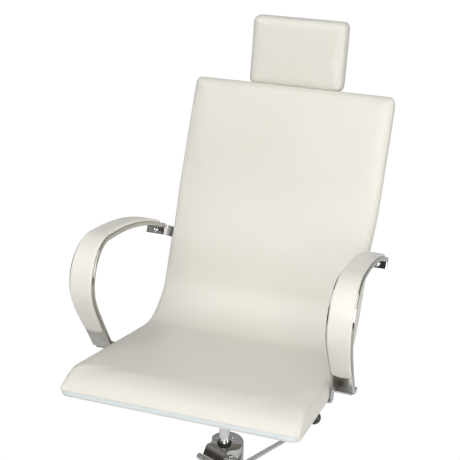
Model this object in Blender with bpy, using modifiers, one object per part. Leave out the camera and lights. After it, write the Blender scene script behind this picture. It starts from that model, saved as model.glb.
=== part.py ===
"""Hydraulic styling chair with a one-piece reclining seat shell, loop arms and a headrest.

Metres, +Z up. The chair faces -Y and the sitter's left side is +X. The origin is the centre of the
base on the floor. The rest pose is a reclined one: everything on the tilt pin leans back by TILT_REST.
"""
import math

import bmesh
import bpy
from mathutils import Vector

# Base and pump
BASE_RADIUS = 0.275
BASE_PLATE_RADIUS = 0.262
BASE_PLATE_THICKNESS = 0.008
RIM_RING_HEIGHT = 0.010
COVER_SHEET = 0.002
COVER_TOP_Z = 0.046
SHROUD_RADIUS = 0.037
SHROUD_WALL = 0.0015
FLANGE_RADIUS = 0.068
FLANGE_THICKNESS = 0.010
FLANGE_BOLT_CIRCLE = 0.054
CYLINDER_RADIUS = 0.0245
CYLINDER_BORE = 0.0205
CYLINDER_TOP_Z = 0.250
HEAD_TOP_Z = 0.270
HEAD_BOTTOM_Z = 0.205
HEAD_HEADING = math.radians(-23)
HEAD_RADIUS = 0.040
HEAD_CENTRE_Y = 0.008
SNOUT_WIDTH = 0.058
SNOUT_FRONT_Y = -0.030
ROD_RADIUS = 0.0125
PISTON_BOTTOM_Z = 0.110
PISTON_HEIGHT = 0.024

# Foot lever, in the pump head's heading
LEVER_SHAFT_Y = -0.043
LEVER_SHAFT_Z = 0.237
LEVER_SHAFT_RADIUS = 0.0072
LEVER_BAR_RADIUS = 0.0055
LEVER_BAR_X = 0.050
PEDAL_Y = 0.262
PEDAL_Z = 0.196

# Swivelling hub, yoke and lock lever
HUB_RADIUS = 0.025
HUB_BOTTOM_Z = 0.328
YOKE_Z = 0.358
TILT_AXIS = Vector((0.0, 0.0, 0.395))
TILT_REST = math.radians(13)
TILT_PIN_RADIUS = 0.006
CHEEK_X = 0.042
CHEEK_THICKNESS = 0.005
LUG_X = 0.052
LUG_THICKNESS = 0.005
QUADRANT_RADIUS = 0.024
QUADRANT_X = 0.020
QUADRANT_THICKNESS = 0.006
LOCK_SHAFT = Vector((0.0, -0.036, 0.385))
LOCK_SHAFT_RADIUS = 0.005
KNOB_RADIUS = 0.015
KNOB_CENTRE = Vector((0.218, -0.050, 0.428))

# Shell, in the upright frame whose origin is the tilt pin
SEAT_SLOPE = math.radians(4)
BACK_RECLINE = math.radians(17)
CORNER_Y = 0.1937
CORNER_Z = 0.1032
SEAT_LENGTH = 0.554
BACK_LENGTH = 0.611
SHELL_HALF_WIDTH = 0.250
BOARD_HALF_WIDTH = 0.243
CREASE_RADIUS = 0.128
BOARD_BEND = CREASE_RADIUS + 0.037
PANEL_START = 0.160
STRIP_DROP = 0.0009
STRIP_THICKNESS = 0.004
SEAT_FOAM = 0.042
BACK_FOAM = 0.028
BOARD = 0.010
BOARD_FRONT_INSET = 0.010
BACK_PANEL = 0.0037
PANEL_INSET = 0.006
NOSE_RADIUS = 0.070
GAP = 0.0003

# Arms
ARM_INNER_X = 0.2535
ARM_BAND_WIDTH = 0.048
ARM_BAND_THICKNESS = 0.009
ARM_PAD_WIDTH = 0.041
ARM_PAD_THICKNESS = 0.008
ARM_PAD_START = 0.097
ARM_PAD_END = 0.050
ARM_BOLT_RADIUS = 0.0035
TONGUE_LENGTH = 0.029
BOLT_INSET = 0.009
ARM_SWELL_OUT = 0.003
ARM_SWELL_IN = 0.006
ARM_SWELL_REACH = 0.130
BRACKET_SHEET = 0.003
BRACKET_WIDTH = 0.026

# Headrest
HEADREST_HALF_WIDTH = 0.119
HEADREST_HEIGHT = 0.167
HEADREST_FOAM = 0.050
HEADREST_BOARD = 0.008
HEADREST_CENTRE_Y = 0.4032
HEADREST_CENTRE_Z = 0.7718
HEADREST_LEAN = math.radians(3)
HEADREST_PIN_Y = 0.4552
HEADREST_BAR_WIDTH = 0.032
HEADREST_BAR_THICKNESS = 0.006
HEADREST_BAR_DEPTH = 0.049
SOCKET_WIDTH = 0.052
SOCKET_LENGTH = 0.080
SOCKET_UP_BACK = 0.530

CREAM = (0.77, 0.74, 0.67)
CREAM_LIGHT = (0.84, 0.81, 0.75)
CHROME = (0.72, 0.73, 0.75)
STEEL = (0.42, 0.43, 0.45)
BLACK = (0.015, 0.015, 0.015)
PLYWOOD = (0.46, 0.32, 0.19)
PALE_VINYL = (0.78, 0.84, 0.87)


# ---------------------------------------------------------------- scene and material helpers

for old in list(bpy.data.objects):
    bpy.data.objects.remove(old, do_unlink=True)

parts = bpy.data.collections.new("styling_chair")
cutters = bpy.data.collections.new("cutters")
bpy.context.scene.collection.children.link(parts)
bpy.context.scene.collection.children.link(cutters)


def material(name, colour, roughness, metallic):
    made = bpy.data.materials.new(name)
    made.use_nodes = True
    shader = made.node_tree.nodes["Principled BSDF"]
    shader.inputs["Base Color"].default_value = (*colour, 1.0)
    shader.inputs["Roughness"].default_value = roughness
    shader.inputs["Metallic"].default_value = metallic
    return made


chrome = material("chromed steel", CHROME, 0.08, 1.0)
brushed = material("brushed steel", STEEL, 0.35, 1.0)
vinyl = material("cream vinyl", CREAM, 0.45, 0.0)
arm_vinyl = material("light cream vinyl", CREAM_LIGHT, 0.40, 0.0)
black_plastic = material("black plastic", BLACK, 0.35, 0.0)
black_rubber = material("black rubber", BLACK, 0.80, 0.0)
plywood = material("moulded plywood", PLYWOOD, 0.60, 0.0)
edge_vinyl = material("pale edge strip", PALE_VINYL, 0.30, 0.0)


def empty(name, location, rotation=(0.0, 0.0, 0.0), parent=None):
    made = bpy.data.objects.new(name, None)
    made.location = location
    made.rotation_euler = rotation
    made.parent = parent
    parts.objects.link(made)
    return made


def place(obj, name, surface, parent=None, smooth=True):
    """Names a finished object, gives it its own copy of the material and moves it to the parts."""
    obj.name = name
    obj.data.name = name
    own = surface.copy()
    own.name = name
    obj.data.materials.clear()
    obj.data.materials.append(own)
    for owner in list(obj.users_collection):
        owner.objects.unlink(obj)
    parts.objects.link(obj)
    obj.parent = parent
    if smooth and obj.type == "MESH":
        obj.data.shade_smooth()
        obj.data.set_sharp_from_angle(angle=math.radians(35))
    return obj


def as_cutter(obj, parent=None):
    for owner in list(obj.users_collection):
        owner.objects.unlink(obj)
    cutters.objects.link(obj)
    obj.parent = parent
    obj.hide_render = True
    obj.display_type = "WIRE"
    return obj


def boolean(obj, other, operation):
    made = obj.modifiers.new(operation.lower(), "BOOLEAN")
    made.operation = operation
    made.object = other
    made.solver = "EXACT"


def bevel(obj, width, segments=2, angle=math.radians(50)):
    made = obj.modifiers.new("rounded edges", "BEVEL")
    made.width = width
    made.segments = segments
    made.limit_method = "ANGLE"
    made.angle_limit = angle


# ---------------------------------------------------------------- shape helpers

def box(size, centre, rotation=(0.0, 0.0, 0.0)):
    bpy.ops.mesh.primitive_cube_add(size=1.0)
    made = bpy.context.object
    for vertex in made.data.vertices:
        vertex.co = [vertex.co[axis] * size[axis] for axis in range(3)]
    made.location = centre
    made.rotation_euler = rotation
    return made


def rod_along(axis, radius, length, centre, sides=24):
    """A cylinder along X, Y or Z."""
    bpy.ops.mesh.primitive_cylinder_add(vertices=sides, radius=radius, depth=length)
    made = bpy.context.object
    made.location = centre
    made.rotation_euler = {"X": (0, math.pi / 2, 0), "Y": (math.pi / 2, 0, 0), "Z": (0, 0, 0)}[axis]
    return made


def turned(profile, centre, sides=32, closed=True):
    """Turns (radius, height) points about Z. A closed profile runs down its outer side and up its
    inner side; an open one starts and ends on the axis."""
    mesh = bpy.data.meshes.new("profile")
    edges = [(i, i + 1) for i in range(len(profile) - 1)]
    if closed:
        edges.append((len(profile) - 1, 0))
    mesh.from_pydata([(radius, 0.0, height) for radius, height in profile], edges, [])
    made = bpy.data.objects.new("turned", mesh)
    bpy.context.scene.collection.objects.link(made)
    screw = made.modifiers.new("turn", "SCREW")
    screw.steps = sides
    screw.render_steps = sides
    screw.use_merge_vertices = True
    screw.merge_threshold = 0.0001
    made.location = centre
    return as_mesh(made)


def as_mesh(obj):
    """Replaces a curve or an object with modifiers by its evaluated mesh, with loose caps welded."""
    bpy.context.view_layer.update()
    evaluated = obj.evaluated_get(bpy.context.evaluated_depsgraph_get())
    mesh = bpy.data.meshes.new_from_object(evaluated)
    welded = bmesh.new()
    welded.from_mesh(mesh)
    bmesh.ops.remove_doubles(welded, verts=welded.verts, dist=0.00005)
    bmesh.ops.recalc_face_normals(welded, faces=welded.faces)
    welded.to_mesh(mesh)
    welded.free()
    made = bpy.data.objects.new("mesh", mesh)
    made.matrix_world = obj.matrix_world.copy()
    bpy.context.scene.collection.objects.link(made)
    bpy.data.objects.remove(obj, do_unlink=True)
    return made


def extruded(outline, width, centre, rotation):
    """Extrudes a flat outline of its own X-Y plane evenly to both sides along its own Z."""
    curve = bpy.data.curves.new("outline", "CURVE")
    curve.dimensions = "2D"
    curve.fill_mode = "BOTH"
    curve.extrude = width / 2
    spline = curve.splines.new("POLY")
    spline.points.add(len(outline) - 1)
    for point, (across, up) in zip(spline.points, outline):
        point.co = (across, up, 0.0, 1.0)
    spline.use_cyclic_u = True
    made = bpy.data.objects.new("extruded", curve)
    made.location = centre
    made.rotation_euler = rotation
    bpy.context.scene.collection.objects.link(made)
    return as_mesh(made)


def side_plate(outline, width, centre_x=0.0):
    """Extrudes a (y, z) outline along X, centred on centre_x."""
    return extruded(outline, width, (centre_x, 0.0, 0.0), (math.pi / 2, 0.0, math.pi / 2))


def tube(points, radius):
    curve = bpy.data.curves.new("tube", "CURVE")
    curve.dimensions = "3D"
    curve.bevel_depth = radius
    curve.bevel_resolution = 2
    curve.use_fill_caps = True
    spline = curve.splines.new("POLY")
    spline.points.add(len(points) - 1)
    for point, place_at in zip(spline.points, points):
        point.co = (*place_at, 1.0)
    made = bpy.data.objects.new("tube", curve)
    bpy.context.scene.collection.objects.link(made)
    return as_mesh(made)


def filleted(points, radii, step=math.radians(10)):
    """Rounds the inner points of a path with arcs of the given radii."""
    points = [Vector(point) for point in points]
    path = [points[0]]
    for before, corner, after, radius in zip(points, points[1:], points[2:], radii):
        back = (before - corner).normalized()
        ahead = (after - corner).normalized()
        half = back.angle(ahead) / 2
        middle = (back + ahead).normalized()
        centre = corner + middle * radius / math.sin(half)
        start = corner + back * radius / math.tan(half) - centre
        end = corner + ahead * radius / math.tan(half) - centre
        turn = start.angle(end)
        count = max(2, math.ceil(turn / step))
        for index in range(count + 1):
            share = index / count
            blend = start * math.sin(turn * (1 - share)) + end * math.sin(turn * share)
            path.append(centre + blend / math.sin(turn))
    path.append(points[-1])
    return path


def arc(centre, radius, first, last, count):
    """Points on a circle in the side plane; angles run from +Y towards +Z."""
    return [Vector((centre[0] + radius * math.cos(first + (last - first) * i / count),
                    centre[1] + radius * math.sin(first + (last - first) * i / count)))
            for i in range(count + 1)]


# ---------------------------------------------------------------- base and pump

def build_base():
    plate = turned([(BASE_PLATE_RADIUS, BASE_PLATE_THICKNESS), (BASE_PLATE_RADIUS, 0.0), (0.0, 0.0)],
                   (0, 0, 0), 40, closed=False)
    bm = bmesh.new()
    bm.from_mesh(plate.data)
    rim = [edge for edge in bm.edges if edge.is_boundary]
    bmesh.ops.contextual_create(bm, geom=rim)
    bmesh.ops.recalc_face_normals(bm, faces=bm.faces)
    bm.to_mesh(plate.data)
    bm.free()
    place(plate, "base_plate", brushed)

    inner = BASE_PLATE_RADIUS + GAP
    ring = turned([(BASE_RADIUS - 0.003, RIM_RING_HEIGHT), (BASE_RADIUS, RIM_RING_HEIGHT - 0.003),
                   (BASE_RADIUS, 0.002), (BASE_RADIUS - 0.002, 0.0), (inner, 0.0),
                   (inner, RIM_RING_HEIGHT)], (0, 0, 0), 40)
    place(ring, "base_rim_ring", black_rubber)

    outer = [(BASE_RADIUS - 0.003, RIM_RING_HEIGHT + GAP)]
    crown = [(0.262, 0.0175), (0.230, 0.0225), (0.150, 0.030), (0.085, 0.038), (0.055, 0.045)]
    hole = SHROUD_RADIUS + 0.001
    top_side = [(hole, COVER_TOP_Z)] + crown[::-1] + outer
    under_side = [(outer[0][0] - 2 * COVER_SHEET, outer[0][1])]
    under_side += [(radius - 0.5 * COVER_SHEET, height - COVER_SHEET) for radius, height in crown]
    under_side += [(hole, COVER_TOP_Z - COVER_SHEET)]
    cover = turned(top_side + under_side, (0, 0, 0), 40)
    place(cover, "base_cover", chrome)


def build_pump_foot():
    floor = BASE_PLATE_THICKNESS + GAP
    bore = CYLINDER_RADIUS + GAP
    flange = turned([(FLANGE_RADIUS, floor + FLANGE_THICKNESS), (FLANGE_RADIUS, floor), (bore, floor),
                     (bore, floor + FLANGE_THICKNESS)], (0, 0, 0))
    place(flange, "pump_flange", brushed)
    top = floor + FLANGE_THICKNESS + GAP
    for index in range(4):
        angle = math.radians(45 + 90 * index)
        centre = (FLANGE_BOLT_CIRCLE * math.cos(angle), FLANGE_BOLT_CIRCLE * math.sin(angle), top + 0.003)
        head = rod_along("Z", 0.0075, 0.006, centre, 6)
        place(head, f"pump_bolt_{index + 1}", brushed, smooth=False)

    well = floor + 0.006
    cylinder = turned([(CYLINDER_RADIUS, CYLINDER_TOP_Z), (CYLINDER_RADIUS, floor), (0.0, floor),
                       (0.0, well), (CYLINDER_BORE, well), (CYLINDER_BORE, CYLINDER_TOP_Z)], (0, 0, 0))
    place(cylinder, "pump_cylinder", brushed)

    shroud_foot = floor + FLANGE_THICKNESS + GAP
    shroud_top = HEAD_BOTTOM_Z - GAP
    inner = SHROUD_RADIUS - SHROUD_WALL
    shroud = turned([(SHROUD_RADIUS, shroud_top), (SHROUD_RADIUS, shroud_foot), (inner, shroud_foot),
                     (inner, shroud_top)], (0, 0, 0))
    place(shroud, "pump_shroud", chrome)


def build_pump_head(heading):
    """Round head with a square snout in front, open underneath, with a bearing for the lever shaft."""
    height = HEAD_TOP_Z - HEAD_BOTTOM_Z
    middle = (HEAD_TOP_Z + HEAD_BOTTOM_Z) / 2
    head = rod_along("Z", HEAD_RADIUS, height, (0, HEAD_CENTRE_Y, middle), 48)
    step_z = LEVER_SHAFT_Z + LEVER_SHAFT_RADIUS + 0.002
    snout_outline = [(0.0, HEAD_TOP_Z), (SNOUT_FRONT_Y, HEAD_TOP_Z), (LEVER_SHAFT_Y - 0.001, step_z),
                     (SNOUT_FRONT_Y - 0.003, step_z - 0.002), (SNOUT_FRONT_Y - 0.003, HEAD_BOTTOM_Z),
                     (0.0, HEAD_BOTTOM_Z)]
    snout = as_cutter(side_plate(snout_outline, SNOUT_WIDTH), heading)
    bearing_outline = arc((LEVER_SHAFT_Y, LEVER_SHAFT_Z), 0.0105, math.radians(90), math.radians(270), 8)
    bearing_outline += [Vector((-0.020, LEVER_SHAFT_Z - 0.0105)), Vector((-0.020, LEVER_SHAFT_Z + 0.0105))]
    bearing = as_cutter(side_plate(bearing_outline, 0.020), heading)
    shaft_hole = as_cutter(rod_along("X", LEVER_SHAFT_RADIUS + GAP, 0.120,
                                     (0, LEVER_SHAFT_Y, LEVER_SHAFT_Z)), heading)
    hollow = as_cutter(rod_along("Z", 0.0345, 0.060, (0, 0, HEAD_BOTTOM_Z + 0.022), 32), heading)
    gland_hole = as_cutter(rod_along("Z", 0.0155 + GAP, 0.060, (0, 0, HEAD_TOP_Z), 32), heading)
    boolean(head, snout, "UNION")
    boolean(head, bearing, "UNION")
    boolean(head, shaft_hole, "DIFFERENCE")
    boolean(head, hollow, "DIFFERENCE")
    boolean(head, gland_hole, "DIFFERENCE")
    place(head, "pump_head", chrome, heading)

    gland = turned([(0.0155, HEAD_TOP_Z + 0.004), (0.0155, HEAD_TOP_Z - 0.013), (ROD_RADIUS + GAP, HEAD_TOP_Z - 0.013),
                    (ROD_RADIUS + GAP, HEAD_TOP_Z + 0.006), (0.014, HEAD_TOP_Z + 0.006)], (0, 0, 0))
    place(gland, "rod_gland", black_rubber)

    screw = rod_along("Z", 0.0025, 0.008, (0.004, 0.023, HEAD_TOP_Z + GAP + 0.004), 12)
    place(screw, "oil_fill_screw", chrome, heading)


def build_lever(heading):
    lever = empty("foot_lever_axis", (0, LEVER_SHAFT_Y, LEVER_SHAFT_Z), parent=heading)
    shaft = rod_along("X", LEVER_SHAFT_RADIUS, 0.078, (-0.005, 0, 0))
    bevel(shaft, 0.0012)
    place(shaft, "lever_shaft", chrome, lever)

    hub_x = 0.0415
    rise_y = PEDAL_Y - LEVER_SHAFT_Y
    drop_z = PEDAL_Z - LEVER_SHAFT_Z
    route = [(LEVER_BAR_X, -0.006, 0.0), (LEVER_BAR_X, 0.075, -0.010), (LEVER_BAR_X, rise_y, drop_z),
             (-0.032, rise_y, drop_z)]
    bar = tube(filleted(route, [0.200, 0.030], math.radians(12)), LEVER_BAR_RADIUS)
    boss = as_cutter(rod_along("X", 0.013, 0.014, (hub_x, 0, 0)), lever)
    eye = as_cutter(rod_along("X", 0.009, 0.016, (hub_x + 0.008, 0, 0)), lever)
    boolean(bar, boss, "UNION")
    boolean(bar, eye, "UNION")
    place(bar, "foot_lever", chrome, lever)

    tread = rod_along("X", 0.0125, 0.056, (-0.014, rise_y, drop_z), 20)
    bore = as_cutter(rod_along("X", LEVER_BAR_RADIUS + GAP, 0.052, (-0.010, rise_y, drop_z), 20), lever)
    boolean(tread, bore, "DIFFERENCE")
    place(tread, "pedal_tread", black_rubber, lever)

    plunger = rod_along("Z", 0.0038, 0.070, (0, -0.0295, 0.160), 16)
    place(plunger, "pump_plunger", brushed, heading)


# ---------------------------------------------------------------- lift, swivel and lock

def build_piston():
    seal = CYLINDER_BORE - GAP
    piston = rod_along("Z", seal, PISTON_HEIGHT, (0, 0, PISTON_BOTTOM_Z + PISTON_HEIGHT / 2), 32)
    bevel(piston, 0.002)
    place(piston, "piston", brushed)
    foot = PISTON_BOTTOM_Z + PISTON_HEIGHT + GAP
    top = YOKE_Z - 0.001
    rod = rod_along("Z", ROD_RADIUS, top - foot, (0, 0, (top + foot) / 2), 32)
    place(rod, "piston_rod", chrome)


def build_hub():
    bore = ROD_RADIUS + GAP
    hub = turned([(HUB_RADIUS, YOKE_Z - GAP), (HUB_RADIUS, HUB_BOTTOM_Z + 0.006),
                  (HUB_RADIUS - 0.005, HUB_BOTTOM_Z), (bore, HUB_BOTTOM_Z), (bore, YOKE_Z - GAP)], (0, 0, 0))
    place(hub, "swivel_hub", brushed)

    yoke = box((2 * CHEEK_X + 2 * CHEEK_THICKNESS, 0.085, 0.006), (0, -0.0025, YOKE_Z + 0.003))
    for side in (-1, 1):
        outline = arc((0, TILT_AXIS.z), 0.017, math.radians(20), math.radians(150), 8)
        outline += [Vector((-0.046, LOCK_SHAFT.z + 0.009)), Vector((-0.046, LOCK_SHAFT.z - 0.009)),
                    Vector((-0.042, YOKE_Z + 0.002)), Vector((0.036, YOKE_Z + 0.002))]
        cheek = as_cutter(side_plate(outline, CHEEK_THICKNESS, side * (CHEEK_X + CHEEK_THICKNESS / 2)))
        boolean(yoke, cheek, "UNION")
    pin_hole = as_cutter(rod_along("X", TILT_PIN_RADIUS + GAP, 0.20, TILT_AXIS))
    shaft_hole = as_cutter(rod_along("X", LOCK_SHAFT_RADIUS + GAP, 0.20, LOCK_SHAFT))
    boolean(yoke, pin_hole, "DIFFERENCE")
    boolean(yoke, shaft_hole, "DIFFERENCE")
    place(yoke, "tilt_yoke", brushed)

    pin = rod_along("X", TILT_PIN_RADIUS, 2 * (LUG_X + LUG_THICKNESS) + 0.010, TILT_AXIS)
    place(pin, "tilt_pin", chrome)


def build_lock():
    lock = empty("lock_axis", LOCK_SHAFT)
    shaft = rod_along("X", LOCK_SHAFT_RADIUS, 0.120, (0.002, 0, 0))
    place(shaft, "lock_shaft", chrome, lock)

    reach = (LOCK_SHAFT - TILT_AXIS).length
    cam_radius = reach - QUADRANT_RADIUS - 0.0006
    cam = rod_along("X", cam_radius, 0.010, (QUADRANT_X, 0, 0), 24)
    bore = as_cutter(rod_along("X", LOCK_SHAFT_RADIUS + GAP, 0.030, (QUADRANT_X, 0, 0)), lock)
    boolean(cam, bore, "DIFFERENCE")
    place(cam, "brake_cam", brushed, lock)

    knob = KNOB_CENTRE - LOCK_SHAFT
    start_x = 0.062 + GAP
    route = [(start_x, 0, 0), (0.095, 0, 0), (0.150, knob.y, knob.z), tuple(knob)]
    lever = tube(filleted(route, [0.03, 0.03]), 0.0048)
    place(lever, "lock_lever", chrome, lock)

    bpy.ops.mesh.primitive_uv_sphere_add(segments=16, ring_count=10, radius=KNOB_RADIUS)
    ball = bpy.context.object
    ball.location = knob
    ball.rotation_euler = (0, math.pi / 2, 0)
    socket = as_cutter(rod_along("X", 0.0052, 0.040, (knob.x - 0.019, knob.y, knob.z), 16), lock)
    boolean(ball, socket, "DIFFERENCE")
    place(ball, "lock_knob", black_plastic, lock)


# ---------------------------------------------------------------- reclining shell

SEAT_FORWARD = Vector((-math.cos(SEAT_SLOPE), math.sin(SEAT_SLOPE)))
SEAT_NORMAL = Vector((math.sin(SEAT_SLOPE), math.cos(SEAT_SLOPE)))
BACK_UP = Vector((math.sin(BACK_RECLINE), math.cos(BACK_RECLINE)))
BACK_NORMAL = Vector((-math.cos(BACK_RECLINE), math.sin(BACK_RECLINE)))
CORNER = Vector((CORNER_Y, CORNER_Z))


def corner_below(seat_depth, back_depth):
    """Where the seat line and the back line meet once moved inwards by these depths."""
    from_seat = CORNER - SEAT_NORMAL * seat_depth
    from_back = CORNER - BACK_NORMAL * back_depth
    across = from_back - from_seat
    turn = SEAT_FORWARD.x * BACK_UP.y - SEAT_FORWARD.y * BACK_UP.x
    along = (across.x * BACK_UP.y - across.y * BACK_UP.x) / turn
    return from_seat + SEAT_FORWARD * along


def on_seat(forward, depth):
    return CORNER + SEAT_FORWARD * forward - SEAT_NORMAL * depth


def on_back(up, depth):
    return CORNER + BACK_UP * up - BACK_NORMAL * depth


def layer(seat_depth, back_depth, thickness, front, top, radius):
    """Closed side outline of an even layer that follows the seat, the crease and the back."""
    upper = filleted([on_seat(front, seat_depth), corner_below(seat_depth, back_depth), on_back(top, back_depth)],
                     [radius])
    lower_depths = (seat_depth + thickness, back_depth + thickness)
    lower = filleted([on_seat(front, lower_depths[0]), corner_below(*lower_depths), on_back(top, lower_depths[1])],
                     [radius + thickness])
    return upper + lower[::-1]


def build_shell(tilt):
    under = SEAT_FOAM
    behind = BACK_FOAM
    nose_centre = on_seat(SEAT_LENGTH - NOSE_RADIUS, NOSE_RADIUS)
    nose_reach = math.asin((NOSE_RADIUS - under) / NOSE_RADIUS)
    nose = arc(nose_centre, NOSE_RADIUS, math.pi - SEAT_SLOPE - nose_reach, math.pi / 2 - SEAT_SLOPE, 8)
    top_round = filleted([nose[-1], CORNER, on_back(BACK_LENGTH, 0), on_back(BACK_LENGTH, behind)],
                         [CREASE_RADIUS, 0.014])
    rear = filleted([on_back(BACK_LENGTH, behind), corner_below(under, behind), nose[0]], [BOARD_BEND - 0.001])
    cushion = side_plate(nose + top_round[1:] + rear[1:-1], 2 * SHELL_HALF_WIDTH)
    bevel(cushion, 0.010, 2, math.radians(60))
    place(cushion, "shell_cushion", vinyl, tilt)

    board_outline = layer(under + GAP, behind + GAP, BOARD, SEAT_LENGTH - BOARD_FRONT_INSET,
                          BACK_LENGTH - 0.004, BOARD_BEND)
    board = side_plate(board_outline, 2 * BOARD_HALF_WIDTH)
    place(board, "shell_board", plywood, tilt, smooth=False)

    depth = behind + BOARD + 2 * GAP
    panel_top = BACK_LENGTH - PANEL_INSET
    panel_outline = [on_back(PANEL_START, depth), on_back(panel_top, depth),
                     on_back(panel_top, depth + BACK_PANEL), on_back(PANEL_START, depth + BACK_PANEL)]
    panel = side_plate(panel_outline, 2 * (BOARD_HALF_WIDTH - PANEL_INSET))
    place(panel, "back_panel", vinyl, tilt, smooth=False)

    front = SEAT_LENGTH - BOARD_FRONT_INSET + GAP
    strip_outline = [on_seat(front, under + STRIP_DROP), on_seat(front + STRIP_THICKNESS, under + STRIP_DROP),
                     on_seat(front + STRIP_THICKNESS, under + BOARD), on_seat(front, under + BOARD)]
    strip = side_plate(strip_outline, 2 * BOARD_HALF_WIDTH)
    place(strip, "front_edge_strip", edge_vinyl, tilt, smooth=False)


def build_tilt_frame(tilt):
    """Channel under the seat board with two lugs round the tilt pin."""
    depth = SEAT_FOAM + BOARD + 2 * GAP
    thickness = 0.005
    plate_outline = [on_seat(0.075, depth), on_seat(0.315, depth), on_seat(0.315, depth + thickness),
                     on_seat(0.075, depth + thickness)]
    plate = side_plate(plate_outline, 0.180)
    for side in (-1, 1):
        lug_outline = arc((0, 0), 0.016, math.radians(180), math.radians(360), 10)
        lug_outline += [on_seat(0.130, depth + 0.001), on_seat(0.260, depth + 0.001)]
        lug = as_cutter(side_plate(lug_outline, LUG_THICKNESS, side * (LUG_X + LUG_THICKNESS / 2)), tilt)
        boolean(plate, lug, "UNION")
    bush_hole = as_cutter(rod_along("X", 0.009 + GAP, 0.20, (0, 0, 0)), tilt)
    boolean(plate, bush_hole, "DIFFERENCE")
    place(plate, "tilt_frame", brushed, tilt, smooth=False)

    inner = TILT_PIN_RADIUS + GAP
    for name, side in (("right", -1), ("left", 1)):
        bush = turned([(0.009, 0.0025), (0.009, -0.0025), (inner, -0.0025), (inner, 0.0025)], (0, 0, 0), 24)
        bush.location = (side * (LUG_X + LUG_THICKNESS / 2), 0, 0)
        bush.rotation_euler = (0, math.pi / 2, 0)
        place(bush, f"pivot_bush_{name}", black_plastic, tilt)

    flare = math.radians(50)
    top = depth + thickness + GAP
    shoulder = QUADRANT_RADIUS * math.cos(flare)
    roof = CORNER_Z + CORNER_Y * math.tan(SEAT_SLOPE) - top / math.cos(SEAT_SLOPE)
    outline = arc((0, 0), QUADRANT_RADIUS, flare, -math.pi - flare, 24)
    outline += [Vector((-shoulder, roof + shoulder * math.tan(SEAT_SLOPE))),
                Vector((shoulder, roof - shoulder * math.tan(SEAT_SLOPE)))]
    quadrant = side_plate(outline, QUADRANT_THICKNESS, QUADRANT_X)
    hole = as_cutter(rod_along("X", TILT_PIN_RADIUS + GAP, 0.05, (QUADRANT_X, 0, 0)), tilt)
    boolean(quadrant, hole, "DIFFERENCE")
    place(quadrant, "brake_quadrant", brushed, tilt)

    screw_depth = depth + thickness + GAP + 0.0025
    corners = [(0.095, -0.075), (0.095, 0.075), (0.295, -0.075), (0.295, 0.075)]
    for index, (forward, x) in enumerate(corners):
        y, z = on_seat(forward, screw_depth)
        screw = rod_along("Z", 0.007, 0.005, (x, y, z), 12)
        screw.rotation_euler = (-SEAT_SLOPE, 0, 0)
        place(screw, f"frame_screw_{index + 1}", brushed, tilt)


# ---------------------------------------------------------------- arms

def upright(y, z):
    """A point of the leaning chair's side view, moved to the upright frame on the tilt pin."""
    leaning = Vector((y, z)) - Vector((TILT_AXIS.y, TILT_AXIS.z))
    cosine = math.cos(TILT_REST)
    sine = math.sin(TILT_REST)
    return Vector((leaning.x * cosine - leaning.y * sine, leaning.x * sine + leaning.y * cosine))


ARM_FOOT = upright(-0.048, 0.504)
ARM_REAR = upright(0.303, 0.662)
ARM_SEAT_TONGUE = ARM_FOOT - SEAT_FORWARD * TONGUE_LENGTH
ARM_BACK_TONGUE = ARM_REAR - BACK_UP * TONGUE_LENGTH
ARM_ROUTE = [ARM_SEAT_TONGUE, ARM_FOOT, upright(-0.128, 0.648), upright(-0.193, 0.815),
             upright(0.120, 0.752), ARM_REAR, ARM_BACK_TONGUE]
ARM_RADII = [0.010, 0.300, 0.084, 0.900, 0.012]
ARM_BELLY = upright(-0.165, 0.740)


def band_outline(route, outer, inner):
    """Outline between two offsets of a path; offsets are measured inwards, to the loop's side."""
    sides = ([], [])
    for index, point in enumerate(route):
        before = route[max(index - 1, 0)]
        after = route[min(index + 1, len(route) - 1)]
        along = (after - before).normalized()
        inward = Vector((along.y, -along.x))
        sides[0].append(point + inward * outer)
        sides[1].append(point + inward * inner)
    return sides[0] + sides[1][::-1]


def path_part(route, start, end):
    """The stretch of a path between two distances along it."""
    kept = []
    travelled = 0.0
    for first, second in zip(route, route[1:]):
        length = (second - first).length
        for limit in (start, end):
            if travelled < limit < travelled + length:
                kept.append(first.lerp(second, (limit - travelled) / length))
        travelled += length
        if start < travelled < end:
            kept.append(second)
    return kept


def swell_sideways(obj, side):
    """Widens an arm's bar round its front bend, more towards the chair than away from it.

    A side plate's own X and Y are its side view, and its own Z runs across the chair.
    """
    for vertex in obj.data.vertices:
        distance = (Vector(vertex.co[:2]) - ARM_BELLY).length
        share = math.exp(-(distance / ARM_SWELL_REACH) ** 2)
        outwards = vertex.co.z * side > 0
        vertex.co.z += side * share * (ARM_SWELL_OUT if outwards else -ARM_SWELL_IN)


def bolt(radius, length, head_radius, head_height):
    """A round-headed bolt along Z whose head stands on Z = 0."""
    return turned([(0.0, head_height), (head_radius * 0.6, head_height), (head_radius, head_height * 0.45),
                   (head_radius, 0.0), (radius, 0.0), (radius, -length), (0.0, -length)], (0, 0, 0), 16,
                  closed=False)


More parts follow.
